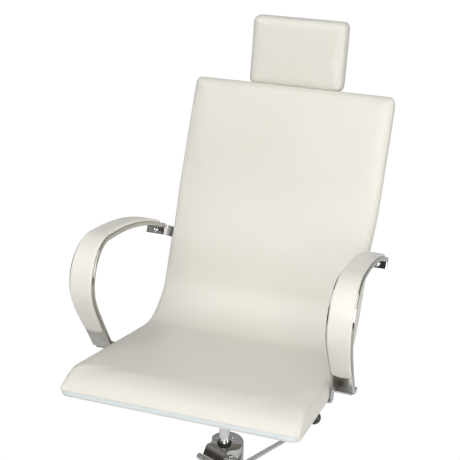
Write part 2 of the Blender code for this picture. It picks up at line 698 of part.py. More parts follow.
def arm_joint(tilt, band, name, side, tongue, along, normal, shell_depth, turn):
    """Bolts one tongue of an arm band to a folded bracket that wraps round the shell's edge.

    normal points away from the shell's inside; shell_depth is the depth of the surface that carries
    the bracket, and turn is the angle about X that takes +Y to normal.
    """
    middle = tongue + along * BOLT_INSET
    height = (middle - CORNER).dot(normal)
    foot = middle - normal * height
    sheet = BRACKET_SHEET
    web = SHELL_HALF_WIDTH + GAP
    tongue_face = height - GAP
    shell_face = -shell_depth - GAP
    outline = [(ARM_INNER_X + 0.042, tongue_face), (web, tongue_face), (web, shell_face),
               (web - 0.045, shell_face), (web - 0.045, shell_face - sheet), (web + sheet, shell_face - sheet),
               (web + sheet, tongue_face - sheet), (ARM_INNER_X + 0.042, tongue_face - sheet)]
    outline = [(side * x, up) for x, up in outline]
    bracket = extruded(outline, BRACKET_WIDTH, (0, *(foot + along * 0.004)), (turn, 0, 0))

    centre_x = side * (ARM_INNER_X + ARM_BAND_WIDTH / 2)
    top = middle + normal * (ARM_BAND_THICKNESS + GAP)
    drill = as_cutter(rod_along("Z", ARM_BOLT_RADIUS + GAP, 0.050, (centre_x, *middle), 16), tilt)
    drill.rotation_euler = (turn - math.pi / 2, 0, 0)
    boolean(bracket, drill, "DIFFERENCE")
    boolean(band, drill, "DIFFERENCE")
    side_name = "left" if side > 0 else "right"
    place(bracket, f"{name}_bracket_{side_name}", brushed, tilt, smooth=False)

    screw = bolt(ARM_BOLT_RADIUS, ARM_BAND_THICKNESS + sheet + 0.003, 0.0075, 0.0045)
    screw.location = (centre_x, *top)
    screw.rotation_euler = (turn - math.pi / 2, 0, 0)
    place(screw, f"{name}_bolt_{side_name}", chrome, tilt)


def build_arm(tilt, name, side):
    path = filleted(ARM_ROUTE, ARM_RADII, math.radians(12))
    centre_x = side * (ARM_INNER_X + ARM_BAND_WIDTH / 2)
    band = side_plate(band_outline(path, 0.0, ARM_BAND_THICKNESS), ARM_BAND_WIDTH, centre_x)
    bevel(band, 0.0015, 1, math.radians(60))
    band = as_mesh(band)
    swell_sideways(band, side)
    place(band, f"arm_band_{name}", chrome, tilt)

    length = sum((second - first).length for first, second in zip(path, path[1:]))
    pad_path = path_part(path, ARM_PAD_START, length - ARM_PAD_END)
    pad = side_plate(band_outline(pad_path, -ARM_PAD_THICKNESS, -GAP), ARM_PAD_WIDTH, centre_x)
    bevel(pad, 0.0035, 2, math.radians(60))
    place(pad, f"arm_pad_{name}", arm_vinyl, tilt)

    seat_depth = SEAT_FOAM + BOARD + GAP
    back_depth = BACK_FOAM + BOARD + BACK_PANEL + 2 * GAP
    arm_joint(tilt, band, "arm_seat", side, ARM_SEAT_TONGUE, SEAT_FORWARD, SEAT_NORMAL, seat_depth,
              math.pi / 2 - SEAT_SLOPE)
    arm_joint(tilt, band, "arm_back", side, ARM_BACK_TONGUE, BACK_UP, BACK_NORMAL, back_depth,
              math.pi - BACK_RECLINE)


# ---------------------------------------------------------------- headrest

def build_headrest_bar(lift):
    """Flat bar that stands in the socket, steps back over the top of the back and ends in an eye."""
    low = on_back(0.415, HEADREST_BAR_DEPTH)
    bend = on_back(0.601, HEADREST_BAR_DEPTH)
    pin = Vector((HEADREST_PIN_Y, HEADREST_CENTRE_Z))
    route = filleted([low, bend, Vector((0.4462, 0.6923)), pin], [0.020, 0.020])
    half = HEADREST_BAR_THICKNESS / 2
    bar = side_plate(band_outline(route, -half, half), HEADREST_BAR_WIDTH)
    eye = as_cutter(rod_along("X", 0.009, HEADREST_BAR_WIDTH, (0, *pin)), lift)
    hole = as_cutter(rod_along("X", 0.004 + GAP, 0.060, (0, *pin)), lift)
    boolean(bar, eye, "UNION")
    boolean(bar, hole, "DIFFERENCE")
    place(bar, "headrest_bar", chrome, lift)

    axle = rod_along("X", 0.004, 0.046, (0, *pin), 16)
    place(axle, "headrest_pin", chrome, lift)


def build_headrest_socket(tilt):
    """Box bracket on the back panel with a slot for the bar and a knob that clamps it."""
    front = BACK_FOAM + BOARD + BACK_PANEL + 3 * GAP
    rear = HEADREST_BAR_DEPTH + 0.009
    middle = SOCKET_UP_BACK
    centre = on_back(middle, (front + rear) / 2)
    turn = (-BACK_RECLINE, 0, 0)
    socket = box((SOCKET_WIDTH, rear - front, SOCKET_LENGTH), (0, *centre), turn)
    slot_centre = on_back(middle, HEADREST_BAR_DEPTH)
    slot = as_cutter(box((HEADREST_BAR_WIDTH + 2 * GAP, HEADREST_BAR_THICKNESS + 2 * GAP, 0.120),
                         (0, *slot_centre), turn), tilt)
    shank_hole = as_cutter(rod_along("Y", 0.004 + GAP, 0.020, (0, *on_back(middle, rear)), 16), tilt)
    shank_hole.rotation_euler = (math.pi / 2 - BACK_RECLINE, 0, 0)
    boolean(socket, slot, "DIFFERENCE")
    boolean(socket, shank_hole, "DIFFERENCE")
    place(socket, "headrest_socket", black_plastic, tilt, smooth=False)

    clamp = empty("clamp_axis", (0, *on_back(middle, rear)), (math.pi / 2 - BACK_RECLINE, 0, 0), tilt)
    reach = rear - HEADREST_BAR_DEPTH - HEADREST_BAR_THICKNESS / 2 - GAP
    knob = turned([(0.0, -0.017), (0.010, -0.017), (0.015, -0.014), (0.016, -0.004), (0.012, -0.0015),
                   (0.004, -0.0015), (0.004, reach), (0.0, reach)], (0, 0, 0), 24, closed=False)
    place(knob, "headrest_clamp_knob", black_plastic, clamp)


def build_headrest_pad(lift):
    """Pad, its board and the forked hinge, in a frame on the hinge pin that leans with the pad."""
    hinge = empty("headrest_tilt_axis", (0, HEADREST_PIN_Y, HEADREST_CENTRE_Z), (HEADREST_LEAN, 0, 0), lift)
    rear = HEADREST_CENTRE_Y + (HEADREST_FOAM + HEADREST_BOARD) / 2 - HEADREST_PIN_Y
    board = box((2 * HEADREST_HALF_WIDTH - 0.024, HEADREST_BOARD, HEADREST_HEIGHT - 0.024),
                (0, rear - HEADREST_BOARD / 2, 0))
    bevel(board, 0.002)
    place(board, "headrest_board", plywood, hinge)

    foam = HEADREST_FOAM - GAP
    pad = box((2 * HEADREST_HALF_WIDTH, foam, HEADREST_HEIGHT), (0, rear - HEADREST_BOARD - GAP - foam / 2, 0))
    bevel(pad, 0.014, 3)
    place(pad, "headrest_pad", vinyl, hinge)

    foot_y = rear + GAP
    sheet = 0.003
    fork = box((0.060, sheet, 0.050), (0, foot_y + sheet / 2, 0))
    lug_outline = arc((0, 0), 0.009, math.radians(-80), math.radians(80), 8)
    lug_outline += [Vector((foot_y + 0.001, 0.020)), Vector((foot_y + 0.001, -0.020))]
    for side in (-1, 1):
        centre_x = side * (HEADREST_BAR_WIDTH / 2 + GAP + sheet / 2)
        lug = as_cutter(side_plate(lug_outline, sheet, centre_x), hinge)
        boolean(fork, lug, "UNION")
    hole = as_cutter(rod_along("X", 0.004 + GAP, 0.080, (0, 0, 0)), hinge)
    boolean(fork, hole, "DIFFERENCE")
    place(fork, "headrest_hinge", brushed, hinge, smooth=False)


build_base()
build_pump_foot()
head_heading = empty("pump_heading", (0, 0, 0), (0, 0, HEAD_HEADING))
build_pump_head(head_heading)
build_lever(head_heading)
build_piston()
build_hub()
build_lock()
tilt_axis = empty("tilt_axis", TILT_AXIS, (-TILT_REST, 0, 0))
build_shell(tilt_axis)
build_tilt_frame(tilt_axis)
build_arm(tilt_axis, "right", -1)
build_arm(tilt_axis, "left", 1)
build_headrest_socket(tilt_axis)
headrest_lift = empty("headrest_lift_axis", (0, 0, 0), parent=tilt_axis)
build_headrest_bar(headrest_lift)
build_headrest_pad(headrest_lift)
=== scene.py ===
"""Looks of a salon styling chair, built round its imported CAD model, in metres with +Z up.

The chair faces -Y. Every piece rides on a CAD body, and its place is in its mesh.
"""

import math

import bmesh
import bpy
import numpy as np
from mathutils import Matrix, Vector


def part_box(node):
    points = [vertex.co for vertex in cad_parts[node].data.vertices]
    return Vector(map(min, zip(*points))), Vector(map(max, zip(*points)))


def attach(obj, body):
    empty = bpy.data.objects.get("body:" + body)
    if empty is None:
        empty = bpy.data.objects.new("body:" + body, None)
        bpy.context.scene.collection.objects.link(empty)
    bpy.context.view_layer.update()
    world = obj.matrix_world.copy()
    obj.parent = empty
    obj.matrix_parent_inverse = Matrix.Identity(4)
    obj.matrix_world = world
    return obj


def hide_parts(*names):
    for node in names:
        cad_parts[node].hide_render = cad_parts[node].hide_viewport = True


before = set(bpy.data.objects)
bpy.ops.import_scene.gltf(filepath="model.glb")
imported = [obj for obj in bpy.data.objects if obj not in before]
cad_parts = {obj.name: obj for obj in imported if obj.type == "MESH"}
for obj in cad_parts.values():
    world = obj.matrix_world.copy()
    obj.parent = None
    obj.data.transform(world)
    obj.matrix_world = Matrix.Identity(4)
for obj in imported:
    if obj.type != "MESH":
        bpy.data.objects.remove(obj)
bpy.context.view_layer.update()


# ---------------------------------------------------------------- floor plate and cover
# A steel disc carries the chair and a moulded rubber ring round it grips the floor. A shallow
# dome, spun from 2 mm sheet and chrome plated, hides the disc and rises to a collar at the pump.

def linear(hex_colour):
    """The linear RGBA of an sRGB hex colour: each channel raised along the sRGB curve."""
    channels = np.array([int(hex_colour[i:i + 2], 16) for i in (1, 3, 5)]) / 255
    curved = np.where(channels <= 0.04045, channels / 12.92, ((channels + 0.055) / 1.055) ** 2.4)
    return (*curved, 1.0)


def add(tree, kind, sockets=None, **settings):
    """Adds one node with its settings; each socket value is either a number or another node's output."""
    made = tree.nodes.new(kind)
    for name, value in settings.items():
        setattr(made, name, value)
    for name, value in (sockets or {}).items():
        if isinstance(value, bpy.types.NodeSocket):
            tree.links.new(value, made.inputs[name])
        else:
            made.inputs[name].default_value = value
    return made


def finish_named(name, **sockets):
    """A new material with its Principled shader; keywords set the shader's own sockets."""
    made = bpy.data.materials.new(name)
    made.use_nodes = True
    shader = made.node_tree.nodes["Principled BSDF"]
    for key, value in sockets.items():
        shader.inputs[key.replace("_", " ")].default_value = value
    return made, made.node_tree, shader


def chrome_plate(name, tone, waviness, light="#e9ebec"):
    """Decorative chrome over nickel: a mirror with a slight swell left by hand buffing, wiped smears."""
    made, tree, shader = finish_named(name, Metallic=1.0)
    place = add(tree, "ShaderNodeTexCoord").outputs["Object"]
    smears = add(tree, "ShaderNodeTexNoise", {"Vector": place, "Scale": 34.0, "Detail": 4.0})
    gloss = add(tree, "ShaderNodeMapRange", {"Value": smears.outputs["Fac"], "From Min": 0.35,
                                             "From Max": 0.75, "To Min": 0.045, "To Max": 0.12})
    tint = add(tree, "ShaderNodeMix", {"Factor": smears.outputs["Fac"], "A": linear(tone),
                                       "B": linear(light)}, data_type="RGBA")
    swell = add(tree, "ShaderNodeTexNoise", {"Vector": place, "Scale": 22.0, "Detail": 1.0})
    bump = add(tree, "ShaderNodeBump", {"Height": swell.outputs["Fac"], "Strength": 1.0,
                                        "Distance": waviness})
    tree.links.new(gloss.outputs["Result"], shader.inputs["Roughness"])
    tree.links.new(tint.outputs["Result"], shader.inputs["Base Color"])
    tree.links.new(bump.outputs["Normal"], shader.inputs["Normal"])
    return made


def moulded_rubber(name, tone):
    """Black rubber, press moulded: matt, with a fine mould texture and a grey bloom in patches."""
    made, tree, shader = finish_named(name, Specular_IOR_Level=0.35)
    place = add(tree, "ShaderNodeTexCoord").outputs["Object"]
    bloom = add(tree, "ShaderNodeTexNoise", {"Vector": place, "Scale": 28.0, "Detail": 5.0})
    tint = add(tree, "ShaderNodeMix", {"Factor": bloom.outputs["Fac"], "A": linear(tone),
                                       "B": linear("#34332f")}, data_type="RGBA")
    matt = add(tree, "ShaderNodeMapRange", {"Value": bloom.outputs["Fac"], "To Min": 0.62, "To Max": 0.9})
    # mould texture of 1.2 mm, coarser than the real 0.3 mm so that it shows
    grain = add(tree, "ShaderNodeTexNoise", {"Vector": place, "Scale": 1 / 0.0012, "Detail": 2.0})
    bump = add(tree, "ShaderNodeBump", {"Height": grain.outputs["Fac"], "Strength": 0.5, "Distance": 0.0002})
    tree.links.new(tint.outputs["Result"], shader.inputs["Base Color"])
    tree.links.new(matt.outputs["Result"], shader.inputs["Roughness"])
    tree.links.new(bump.outputs["Normal"], shader.inputs["Normal"])
    return made


def satin_zinc(name, tone):
    """Bright zinc on mild steel: soft grey, with the streaks of drawn sheet along X."""
    made, tree, shader = finish_named(name, Metallic=1.0)
    place = add(tree, "ShaderNodeTexCoord").outputs["Object"]
    drawn = add(tree, "ShaderNodeMapping", {"Vector": place, "Scale": (12.0, 900.0, 900.0)})
    streaks = add(tree, "ShaderNodeTexNoise", {"Vector": drawn.outputs["Vector"], "Scale": 1.0, "Detail": 3.0})
    crystals = add(tree, "ShaderNodeTexNoise", {"Vector": place, "Scale": 60.0, "Detail": 6.0})
    satin = add(tree, "ShaderNodeMapRange", {"Value": streaks.outputs["Fac"], "To Min": 0.26, "To Max": 0.48})
    tint = add(tree, "ShaderNodeMix", {"Factor": crystals.outputs["Fac"], "A": linear(tone),
                                       "B": linear("#c2c3c2")}, data_type="RGBA")
    bump = add(tree, "ShaderNodeBump", {"Height": streaks.outputs["Fac"], "Strength": 0.25,
                                        "Distance": 0.0001})
    tree.links.new(tint.outputs["Result"], shader.inputs["Base Color"])
    tree.links.new(satin.outputs["Result"], shader.inputs["Roughness"])
    tree.links.new(bump.outputs["Normal"], shader.inputs["Normal"])
    return made


def piece_from(name, grid, finish, body, around=True, sharp=35.0):
    """Makes a mesh of a grid of points, rows by columns, whose columns join up when around is true.

    Rows that shrink to a point or a line close the piece, because equal points are merged. The UV map
    holds metres: along the rows and along the columns.
    """
    rows, columns = grid.shape[:2]
    index = np.arange(rows * columns).reshape(rows, columns)
    right = np.roll(index, -1, axis=1) if around else index[:, 1:]
    left = index if around else index[:, :-1]
    faces = np.stack([left[:-1], right[:-1], right[1:], left[1:]], axis=-1).reshape(-1, 4)
    mesh = bpy.data.meshes.new(name)
    mesh.from_pydata(grid.reshape(-1, 3), [], faces.tolist())
    down = np.zeros((rows, columns))
    down[1:] = np.cumsum(np.linalg.norm(np.diff(grid, axis=0), axis=-1), axis=0)
    over = np.zeros((rows, columns))
    over[:, 1:] = np.cumsum(np.linalg.norm(np.diff(grid, axis=1), axis=-1), axis=1)
    wrap = np.stack([down.ravel(), over.ravel()], axis=-1)
    loops = np.zeros(len(mesh.loops), np.int32)
    mesh.loops.foreach_get("vertex_index", loops)
    mesh.uv_layers.new(name="wrap").data.foreach_set("uv", wrap[loops].astype(np.float32).ravel())
    closed = bmesh.new()
    closed.from_mesh(mesh)
    bmesh.ops.remove_doubles(closed, verts=closed.verts, dist=1e-6)
    bmesh.ops.recalc_face_normals(closed, faces=closed.faces)
    closed.to_mesh(mesh)
    closed.free()
    mesh.shade_smooth()
    mesh.set_sharp_from_angle(angle=math.radians(sharp))
    mesh.materials.append(finish)
    made = bpy.data.objects.new(name, mesh)
    bpy.context.scene.collection.objects.link(made)
    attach(made, body)
    return made


def turned(profile, centre=(0, 0, 0), axis=(0, 0, 1), sides=96, hexagon=(), lobes=0, lobe_depth=0.0):
    """Grid of a turned shape: radius and height pairs, each swept round the axis.

    Rows listed in hexagon follow a hexagon instead of a circle. With lobes, every radius swells and
    shrinks by lobe_depth times the cosine of lobes times the angle.
    """
    radius, height = np.array(profile, float).T
    angle = np.linspace(0, 2 * math.pi, sides, endpoint=False)
    reach = np.ones((len(radius), sides))
    six = 1 / np.cos((angle + math.pi / 6) % (math.pi / 3) - math.pi / 6)
    reach[list(hexagon)] = six
    reach = reach * (1 + lobe_depth * np.cos(lobes * angle)) if lobes else reach
    local = np.stack([radius[:, None] * reach * np.cos(angle), radius[:, None] * reach * np.sin(angle),
                      np.repeat(height[:, None], sides, axis=1)], axis=-1)
    up = np.array(axis, float) / np.linalg.norm(axis)
    side = np.cross(up, (0.0, 1.0, 0.0) if abs(up[1]) < 0.9 else (1.0, 0.0, 0.0))
    side = side / np.linalg.norm(side)
    turn = np.stack([side, np.cross(up, side), up], axis=1)
    return local @ turn.T + np.array(centre, float)


def rounded(points, radii, steps=8):
    """A path through points whose inner corners are arcs of these radii, as one array."""
    points = np.array(points, float)
    path = [points[:1]]
    for before, corner, after, radius in zip(points, points[1:], points[2:], radii):
        back = (before - corner) / np.linalg.norm(before - corner)
        ahead = (after - corner) / np.linalg.norm(after - corner)
        half = math.acos(np.clip(back @ ahead, -1, 1)) / 2
        reach = min(radius / math.tan(half), 0.499 * min(np.linalg.norm(before - corner),
                                                         np.linalg.norm(after - corner)) * 2)
        middle = corner + (back + ahead) / np.linalg.norm(back + ahead) * reach / math.cos(half)
        first = corner + back * reach - middle
        last = corner + ahead * reach - middle
        sweep = math.pi - 2 * half
        share = np.linspace(0, 1, steps + 1)[:, None]
        path.append(middle + (np.sin((1 - share) * sweep) * first + np.sin(share * sweep) * last)
                    / math.sin(sweep))
    path.append(points[-1:])
    return np.concatenate(path)


chrome = chrome_plate("chrome_plated_steel", "#c6c6c3", 0.00004)
rubber = moulded_rubber("moulded_black_rubber", "#1b1b1a")
zinc = satin_zinc("bright_zinc_plate", "#cdced1")

for hidden_steel in ("base_plate", "pump_flange", "pump_bolt_1", "pump_bolt_2", "pump_bolt_3", "pump_bolt_4",
                     "pump_cylinder", "pump_plunger", "piston"):
    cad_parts[hidden_steel].data.materials.clear()
    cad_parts[hidden_steel].data.materials.append(zinc)

ring_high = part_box("base_rim_ring")[1]
ring_radius = ring_high.x
ring_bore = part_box("base_plate")[1].x + 0.0003
ring_top = ring_high.z
ring = piece_from("rim_ring", turned([
    (ring_bore, ring_top), (ring_bore, 0.0), (ring_radius - 0.003, 0.0), (ring_radius - 0.0008, 0.0008),
    (ring_radius, 0.003), (ring_radius, 0.0045), (ring_radius - 0.0006, 0.0052), (ring_radius, 0.0059),
    (ring_radius, ring_top - 0.0025), (ring_radius - 0.0009, ring_top - 0.0008),
    (ring_radius - 0.0028, ring_top), (ring_bore, ring_top)], sides=160), rubber, "base")
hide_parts("base_rim_ring")

dome = rounded([(0.2722, 0.0104), (0.262, 0.0175), (0.230, 0.0225), (0.150, 0.030), (0.085, 0.038),
                (0.052, 0.0462), (0.0382, 0.0460)], [0.012, 0.09, 0.4, 0.3, 0.06], 10)
inside = dome[::-1] - np.array([0.0012, 0.0016])
inside[0] = (0.0382, 0.0444)
inside[-1] = (0.2705, 0.0104)
cover = piece_from("base_dome", turned(np.concatenate([dome, inside, dome[:1]]), sides=192), chrome, "base",
                   sharp=50)
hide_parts("base_cover")


# ---------------------------------------------------------------- pump
# The lift pump stands on the plate in a chrome sleeve. Its cast head is polished and chromed: round
# behind the rod, with a square snout whose flanks curve in, and a sloped face over the lever's shaft.

HEADING = math.radians(-23)


def headed(points):
    """Turns points of the pump head's own frame about the pump's axis to where the head faces."""
    cosine, sine = math.cos(HEADING), math.sin(HEADING)
    turn = np.array([[cosine, sine, 0], [-sine, cosine, 0], [0, 0, 1]])
    return np.array(points, float) @ turn


def head_outline(front_y, snout, round_radius, waist):
    """Plan of the head: a straight front edge, flanks that curve in by waist and out to a round rear.

    The half width follows the snout in front and the circle behind, joined by a smooth step.
    """
    centre_y = 0.008
    y = np.linspace(front_y, centre_y, 30)
    step = np.clip((y + 0.020) / 0.024, 0, 1)
    step = step * step * (3 - 2 * step)
    circle = np.sqrt(np.maximum(round_radius ** 2 - (y - centre_y) ** 2, 0))
    dip = waist * np.sin(np.clip((y - front_y) / (-0.004 - front_y), 0, 1) * math.pi)
    flank = (snout - dip) * (1 - step) + circle * step
    angle = np.linspace(0, math.pi, 37)[1:-1]
    rear = np.stack([round_radius * np.cos(angle), centre_y + round_radius * np.sin(angle)], axis=-1)
    front_x = np.linspace(-flank[0], flank[0], 14)[1:-1]
    front = np.stack([front_x, np.full(12, front_y)], axis=-1)
    return np.concatenate([np.stack([flank, y], -1), rear, np.stack([-flank[::-1], y[::-1]], -1), front])


head_low_z, head_high_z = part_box("pump_head")[0].z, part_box("pump_head")[1].z
head_levels = [(head_high_z, -0.0286, 0.0276, 0.0388, 0.0020), (head_high_z - 0.0004, -0.0296, 0.0286, 0.0396, 0.0020),
               (head_high_z - 0.0014, -0.0306, 0.0290, 0.0400, 0.0021), (0.2475, -0.0432, 0.0290, 0.0400, 0.0034),
               (0.2455, -0.0436, 0.0290, 0.0400, 0.0036), (0.2440, -0.0425, 0.0288, 0.0400, 0.0036),
               (0.2430, -0.0345, 0.0284, 0.0400, 0.0036), (0.2300, -0.0335, 0.0280, 0.0400, 0.0040),
               (head_low_z + 0.0010, -0.0330, 0.0280, 0.0400, 0.0030), (head_low_z, -0.0318, 0.0268, 0.0390, 0.0030)]
head_rows = [np.pad(head_outline(*level[1:]), ((0, 0), (0, 1)), constant_values=level[0]) for level in head_levels]
bearing = np.arctan2(head_rows[0][:, 1], head_rows[0][:, 0])


def ring_of(radius, z):
    """A circle at this height, with one point on the same bearing as each point of the head's outline."""
    return np.stack([radius * np.cos(bearing), radius * np.sin(bearing), np.full(len(bearing), z)], -1)


head_rows = [ring_of(0.0158, 0.257), ring_of(0.0158, head_high_z - 0.0005), ring_of(0.0163, head_high_z)] + head_rows
head_rows += [ring_of(0.0345, head_low_z), ring_of(0.0345, 0.257), ring_of(0.0158, 0.257)]
polished_cast = chrome_plate("polished_chrome_casting", "#b2b0ac", 0.00012, "#d2d2d0")
head = piece_from("pump_head_casting", headed(np.stack(head_rows)), polished_cast, "base", sharp=32)
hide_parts("pump_head")

sleeve = piece_from("pump_sleeve", turned([(0.0355, 0.0186), (0.037, 0.0186), (0.037, 0.2020), (0.0366, 0.2047),
                                           (0.0355, 0.2047), (0.0355, 0.0186)]), chrome, "base")
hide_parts("pump_shroud")

gland_low, gland_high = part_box("rod_gland")
gland_top = gland_high.z
gland = piece_from("rod_wiper", turned([
    (0.0128, gland_low.z), (0.0155, gland_low.z), (0.0155, gland_top - 0.0016), (0.0151, gland_top - 0.0008),
    (0.0143, gland_top - 0.0006), (0.0139, gland_top), (0.0131, gland_top), (0.0128, gland_top - 0.0008),
    (0.0128, gland_low.z)]), rubber, "base")
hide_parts("rod_gland")

stud_low, stud_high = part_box("oil_fill_screw")
stud_x, stud_y = (stud_low.x + stud_high.x) / 2, (stud_low.y + stud_high.y) / 2
stud = piece_from("oil_screw", turned([
    (0, stud_low.z), (0.0019, stud_low.z), (0.0019, stud_low.z + 0.0030), (0.0025, stud_low.z + 0.0032),
    (0.0025, stud_high.z - 0.0009), (0.0021, stud_high.z - 0.0002), (0.0014, stud_high.z),
    (0.0012, stud_high.z), (0.0012, stud_high.z - 0.0018), (0, stud_high.z - 0.0018)],
    centre=(stud_x, stud_y, 0), sides=48, hexagon=(7, 8)), chrome, "base")
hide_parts("oil_fill_screw")


# ---------------------------------------------------------------- foot lever
# A bent 11 mm chromed bar, welded to a boss on the cross shaft in the snout. It runs back along the
# sitter's left and turns in to a ribbed rubber tread that the stylist steps on.

LEVER_AXIS = np.array((0.0, -0.043, 0.237))
ACROSS = headed((1.0, 0.0, 0.0))


def bar_along(points, radius, sides=28):
    """Grid of a round bar: a circle carried square to a path, with eased ends that close it."""
    points = np.array(points, float)
    ahead = np.gradient(points, axis=0)
    ahead = ahead / np.linalg.norm(ahead, axis=1)[:, None]
    side = np.cross(ahead, (0.0, 0.0, 1.0))
    side = side / np.linalg.norm(side, axis=1)[:, None]
    up = np.cross(side, ahead)
    angle = np.linspace(0, 2 * math.pi, sides, endpoint=False)[None, :, None]
    ease = np.array([0.0, 0.72, 1.0])
    reach = np.concatenate([ease, np.ones(len(points) - 2), ease[::-1]]) * radius
    rows = np.concatenate([[0, 0, 0], np.arange(1, len(points) - 1), [-1, -1, -1]]).astype(int)
    shift = np.zeros(len(rows))
    shift[2] = 0.12 * radius
    shift[-3] = -0.12 * radius
    centre = points[rows] + ahead[rows] * shift[:, None]
    return (centre[:, None] + reach[:, None, None] * (side[rows][:, None] * np.cos(angle)
                                                      + up[rows][:, None] * np.sin(angle)))


lever_route = rounded([(0.050, -0.006, 0.0), (0.050, 0.075, -0.010), (0.050, 0.305, -0.041),
                       (-0.032, 0.305, -0.041)], [0.200, 0.030], 12)
lever = piece_from("lever_bar", headed(bar_along(lever_route + LEVER_AXIS, 0.0055)), chrome, "foot_lever")
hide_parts("foot_lever")

boss = piece_from("lever_boss", turned([
    (0.0075, 0.0347), (0.0118, 0.0347), (0.013, 0.0358), (0.013, 0.0474), (0.0120, 0.0484), (0.0092, 0.0487),
    (0.009, 0.0495), (0.009, 0.0566), (0.0082, 0.0574), (0.0, 0.0574)],
    centre=headed(LEVER_AXIS), axis=ACROSS, sides=64), chrome, "foot_lever")

shaft = piece_from("lever_cross_shaft", turned([
    (0, -0.0440), (0.0052, -0.0440), (0.0064, -0.0434), (0.0070, -0.0424), (0.0072, -0.0410), (0.0072, -0.0385),
    (0.0063, -0.0380), (0.0063, -0.0368), (0.0072, -0.0363), (0.0072, 0.0340), (0, 0.0340)],
    centre=headed(LEVER_AXIS), axis=ACROSS, sides=64), chrome, "foot_lever")
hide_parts("lever_shaft")

rib_x = np.linspace(-0.042, 0.014, 113)
rib_radius = 0.0118 + 0.0007 * np.clip(np.cos((rib_x + 0.042) * 2 * math.pi / 0.005) * 2.2, -1, 1)
rib_radius[[0, -1]] = 0.0108
tread_profile = np.concatenate([[(0.0058, rib_x[0])], np.stack([rib_radius, rib_x], -1), [(0.0058, rib_x[-1])],
                                [(0.0058, rib_x[0])]])
tread = piece_from("pedal_grip", turned(tread_profile, centre=headed(LEVER_AXIS + np.array((0, 0.305, -0.041))),
                                        axis=ACROSS, sides=56), rubber, "foot_lever")
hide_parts("pedal_tread")


# ---------------------------------------------------------------- lift rod, hub and yoke
# The ground and chromed rod rises out of the pump, and the shell turns on it in a hub of zinc-plated
# steel. The hub carries a welded yoke, whose cheeks hold the recline pin and the lock shaft.

rod_low, rod_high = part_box("piston_rod")
rod = piece_from("lift_rod", turned([(0, rod_low.z), (0.0115, rod_low.z), (0.0125, rod_low.z + 0.001),
                                     (0.0125, rod_high.z - 0.001), (0.0115, rod_high.z), (0, rod_high.z)]),
                 chrome, "piston")
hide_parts("piston_rod")

hub_low, hub_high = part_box("swivel_hub")
hub = piece_from("turning_hub", turned([
    (0.0128, hub_low.z), (0.0195, hub_low.z), (0.0205, hub_low.z + 0.0005), (0.0247, hub_low.z + 0.0055),
    (0.025, hub_low.z + 0.0066), (0.025, hub_low.z + 0.0130), (0.0243, hub_low.z + 0.0137),
    (0.0243, hub_low.z + 0.0157), (0.025, hub_low.z + 0.0164), (0.025, hub_high.z - 0.0005),
    (0.0245, hub_high.z), (0.0128, hub_high.z), (0.0128, hub_low.z)]), zinc, "swivel")
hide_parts("swivel_hub")


def eased(name, node, finish, body, width=0.0008):
    """A CAD plate copied with its loose triangles joined and its corners eased, as deburred sheet is."""
    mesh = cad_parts[node].data.copy()
    joined = bmesh.new()
    joined.from_mesh(mesh)
    bmesh.ops.remove_doubles(joined, verts=joined.verts, dist=1e-5)
    bmesh.ops.dissolve_limit(joined, angle_limit=math.radians(1.5), verts=joined.verts, edges=joined.edges)
    joined.to_mesh(mesh)
    joined.free()
    mesh.name = name
    mesh.materials.clear()
    mesh.materials.append(finish)
    made = bpy.data.objects.new(name, mesh)
    bpy.context.scene.collection.objects.link(made)
    mesh.shade_smooth()
    mesh.set_sharp_from_angle(angle=math.radians(30))
    corner = made.modifiers.new("eased_corners", "BEVEL")
    corner.width = width
    corner.segments = 2
    corner.limit_method = "ANGLE"
    corner.angle_limit = math.radians(30)
    corner.harden_normals = True
    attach(made, body)
    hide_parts(node)
    return made


eased("yoke_weldment", "tilt_yoke", zinc, "swivel")

for pin_name, pin_node, pin_body in (("recline_pin", "tilt_pin", "swivel"),
                                     ("lock_cross_shaft", "lock_shaft", "lock_lever")):
    low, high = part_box(pin_node)
    radius = (high.z - low.z) / 2
    pin = piece_from(pin_name, turned([
        (0, low.x), (radius * 0.75, low.x), (radius, low.x + 0.0012), (radius, low.x + 0.0026),
        (radius - 0.0006, low.x + 0.0028), (radius - 0.0006, low.x + 0.0038), (radius, low.x + 0.0040),
        (radius, high.x - 0.0012), (radius * 0.75, high.x), (0, high.x)],
        centre=(0, (low.y + high.y) / 2, (low.z + high.z) / 2), axis=(1, 0, 0), sides=48), chrome, pin_body)
    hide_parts(pin_node)


# ---------------------------------------------------------------- recline lock lever
# A chromed 9.6 mm lever on the sitter's left works the brake cam, and ends in a glossy black ball.

def black_phenolic(name, tone, low, high):
    """Black moulded plastic: polished by the mould and the hand, with faint flow marks."""
    made, tree, shader = finish_named(name, IOR=1.52, Coat_Weight=0.3, Coat_Roughness=0.12)
    place = add(tree, "ShaderNodeTexCoord").outputs["Object"]
    handled = add(tree, "ShaderNodeTexNoise", {"Vector": place, "Scale": 90.0, "Detail": 5.0})
    gloss = add(tree, "ShaderNodeMapRange", {"Value": handled.outputs["Fac"], "To Min": low, "To Max": high})
    tint = add(tree, "ShaderNodeMix", {"Factor": handled.outputs["Fac"], "A": linear(tone),
                                       "B": linear("#2a2827")}, data_type="RGBA")
    spark = add(tree, "ShaderNodeTexNoise", {"Vector": place, "Scale": 1 / 0.0010, "Detail": 2.0})
    bump = add(tree, "ShaderNodeBump", {"Height": spark.outputs["Fac"], "Strength": 0.2, "Distance": 0.0001})
    tree.links.new(tint.outputs["Result"], shader.inputs["Base Color"])
    tree.links.new(gloss.outputs["Result"], shader.inputs["Roughness"])
    tree.links.new(bump.outputs["Normal"], shader.inputs["Normal"])
    return made


glossy_black = black_phenolic("glossy_black_phenolic", "#131212", 0.08, 0.22)
moulded_black = black_phenolic("moulded_black_nylon", "#181818", 0.38, 0.6)

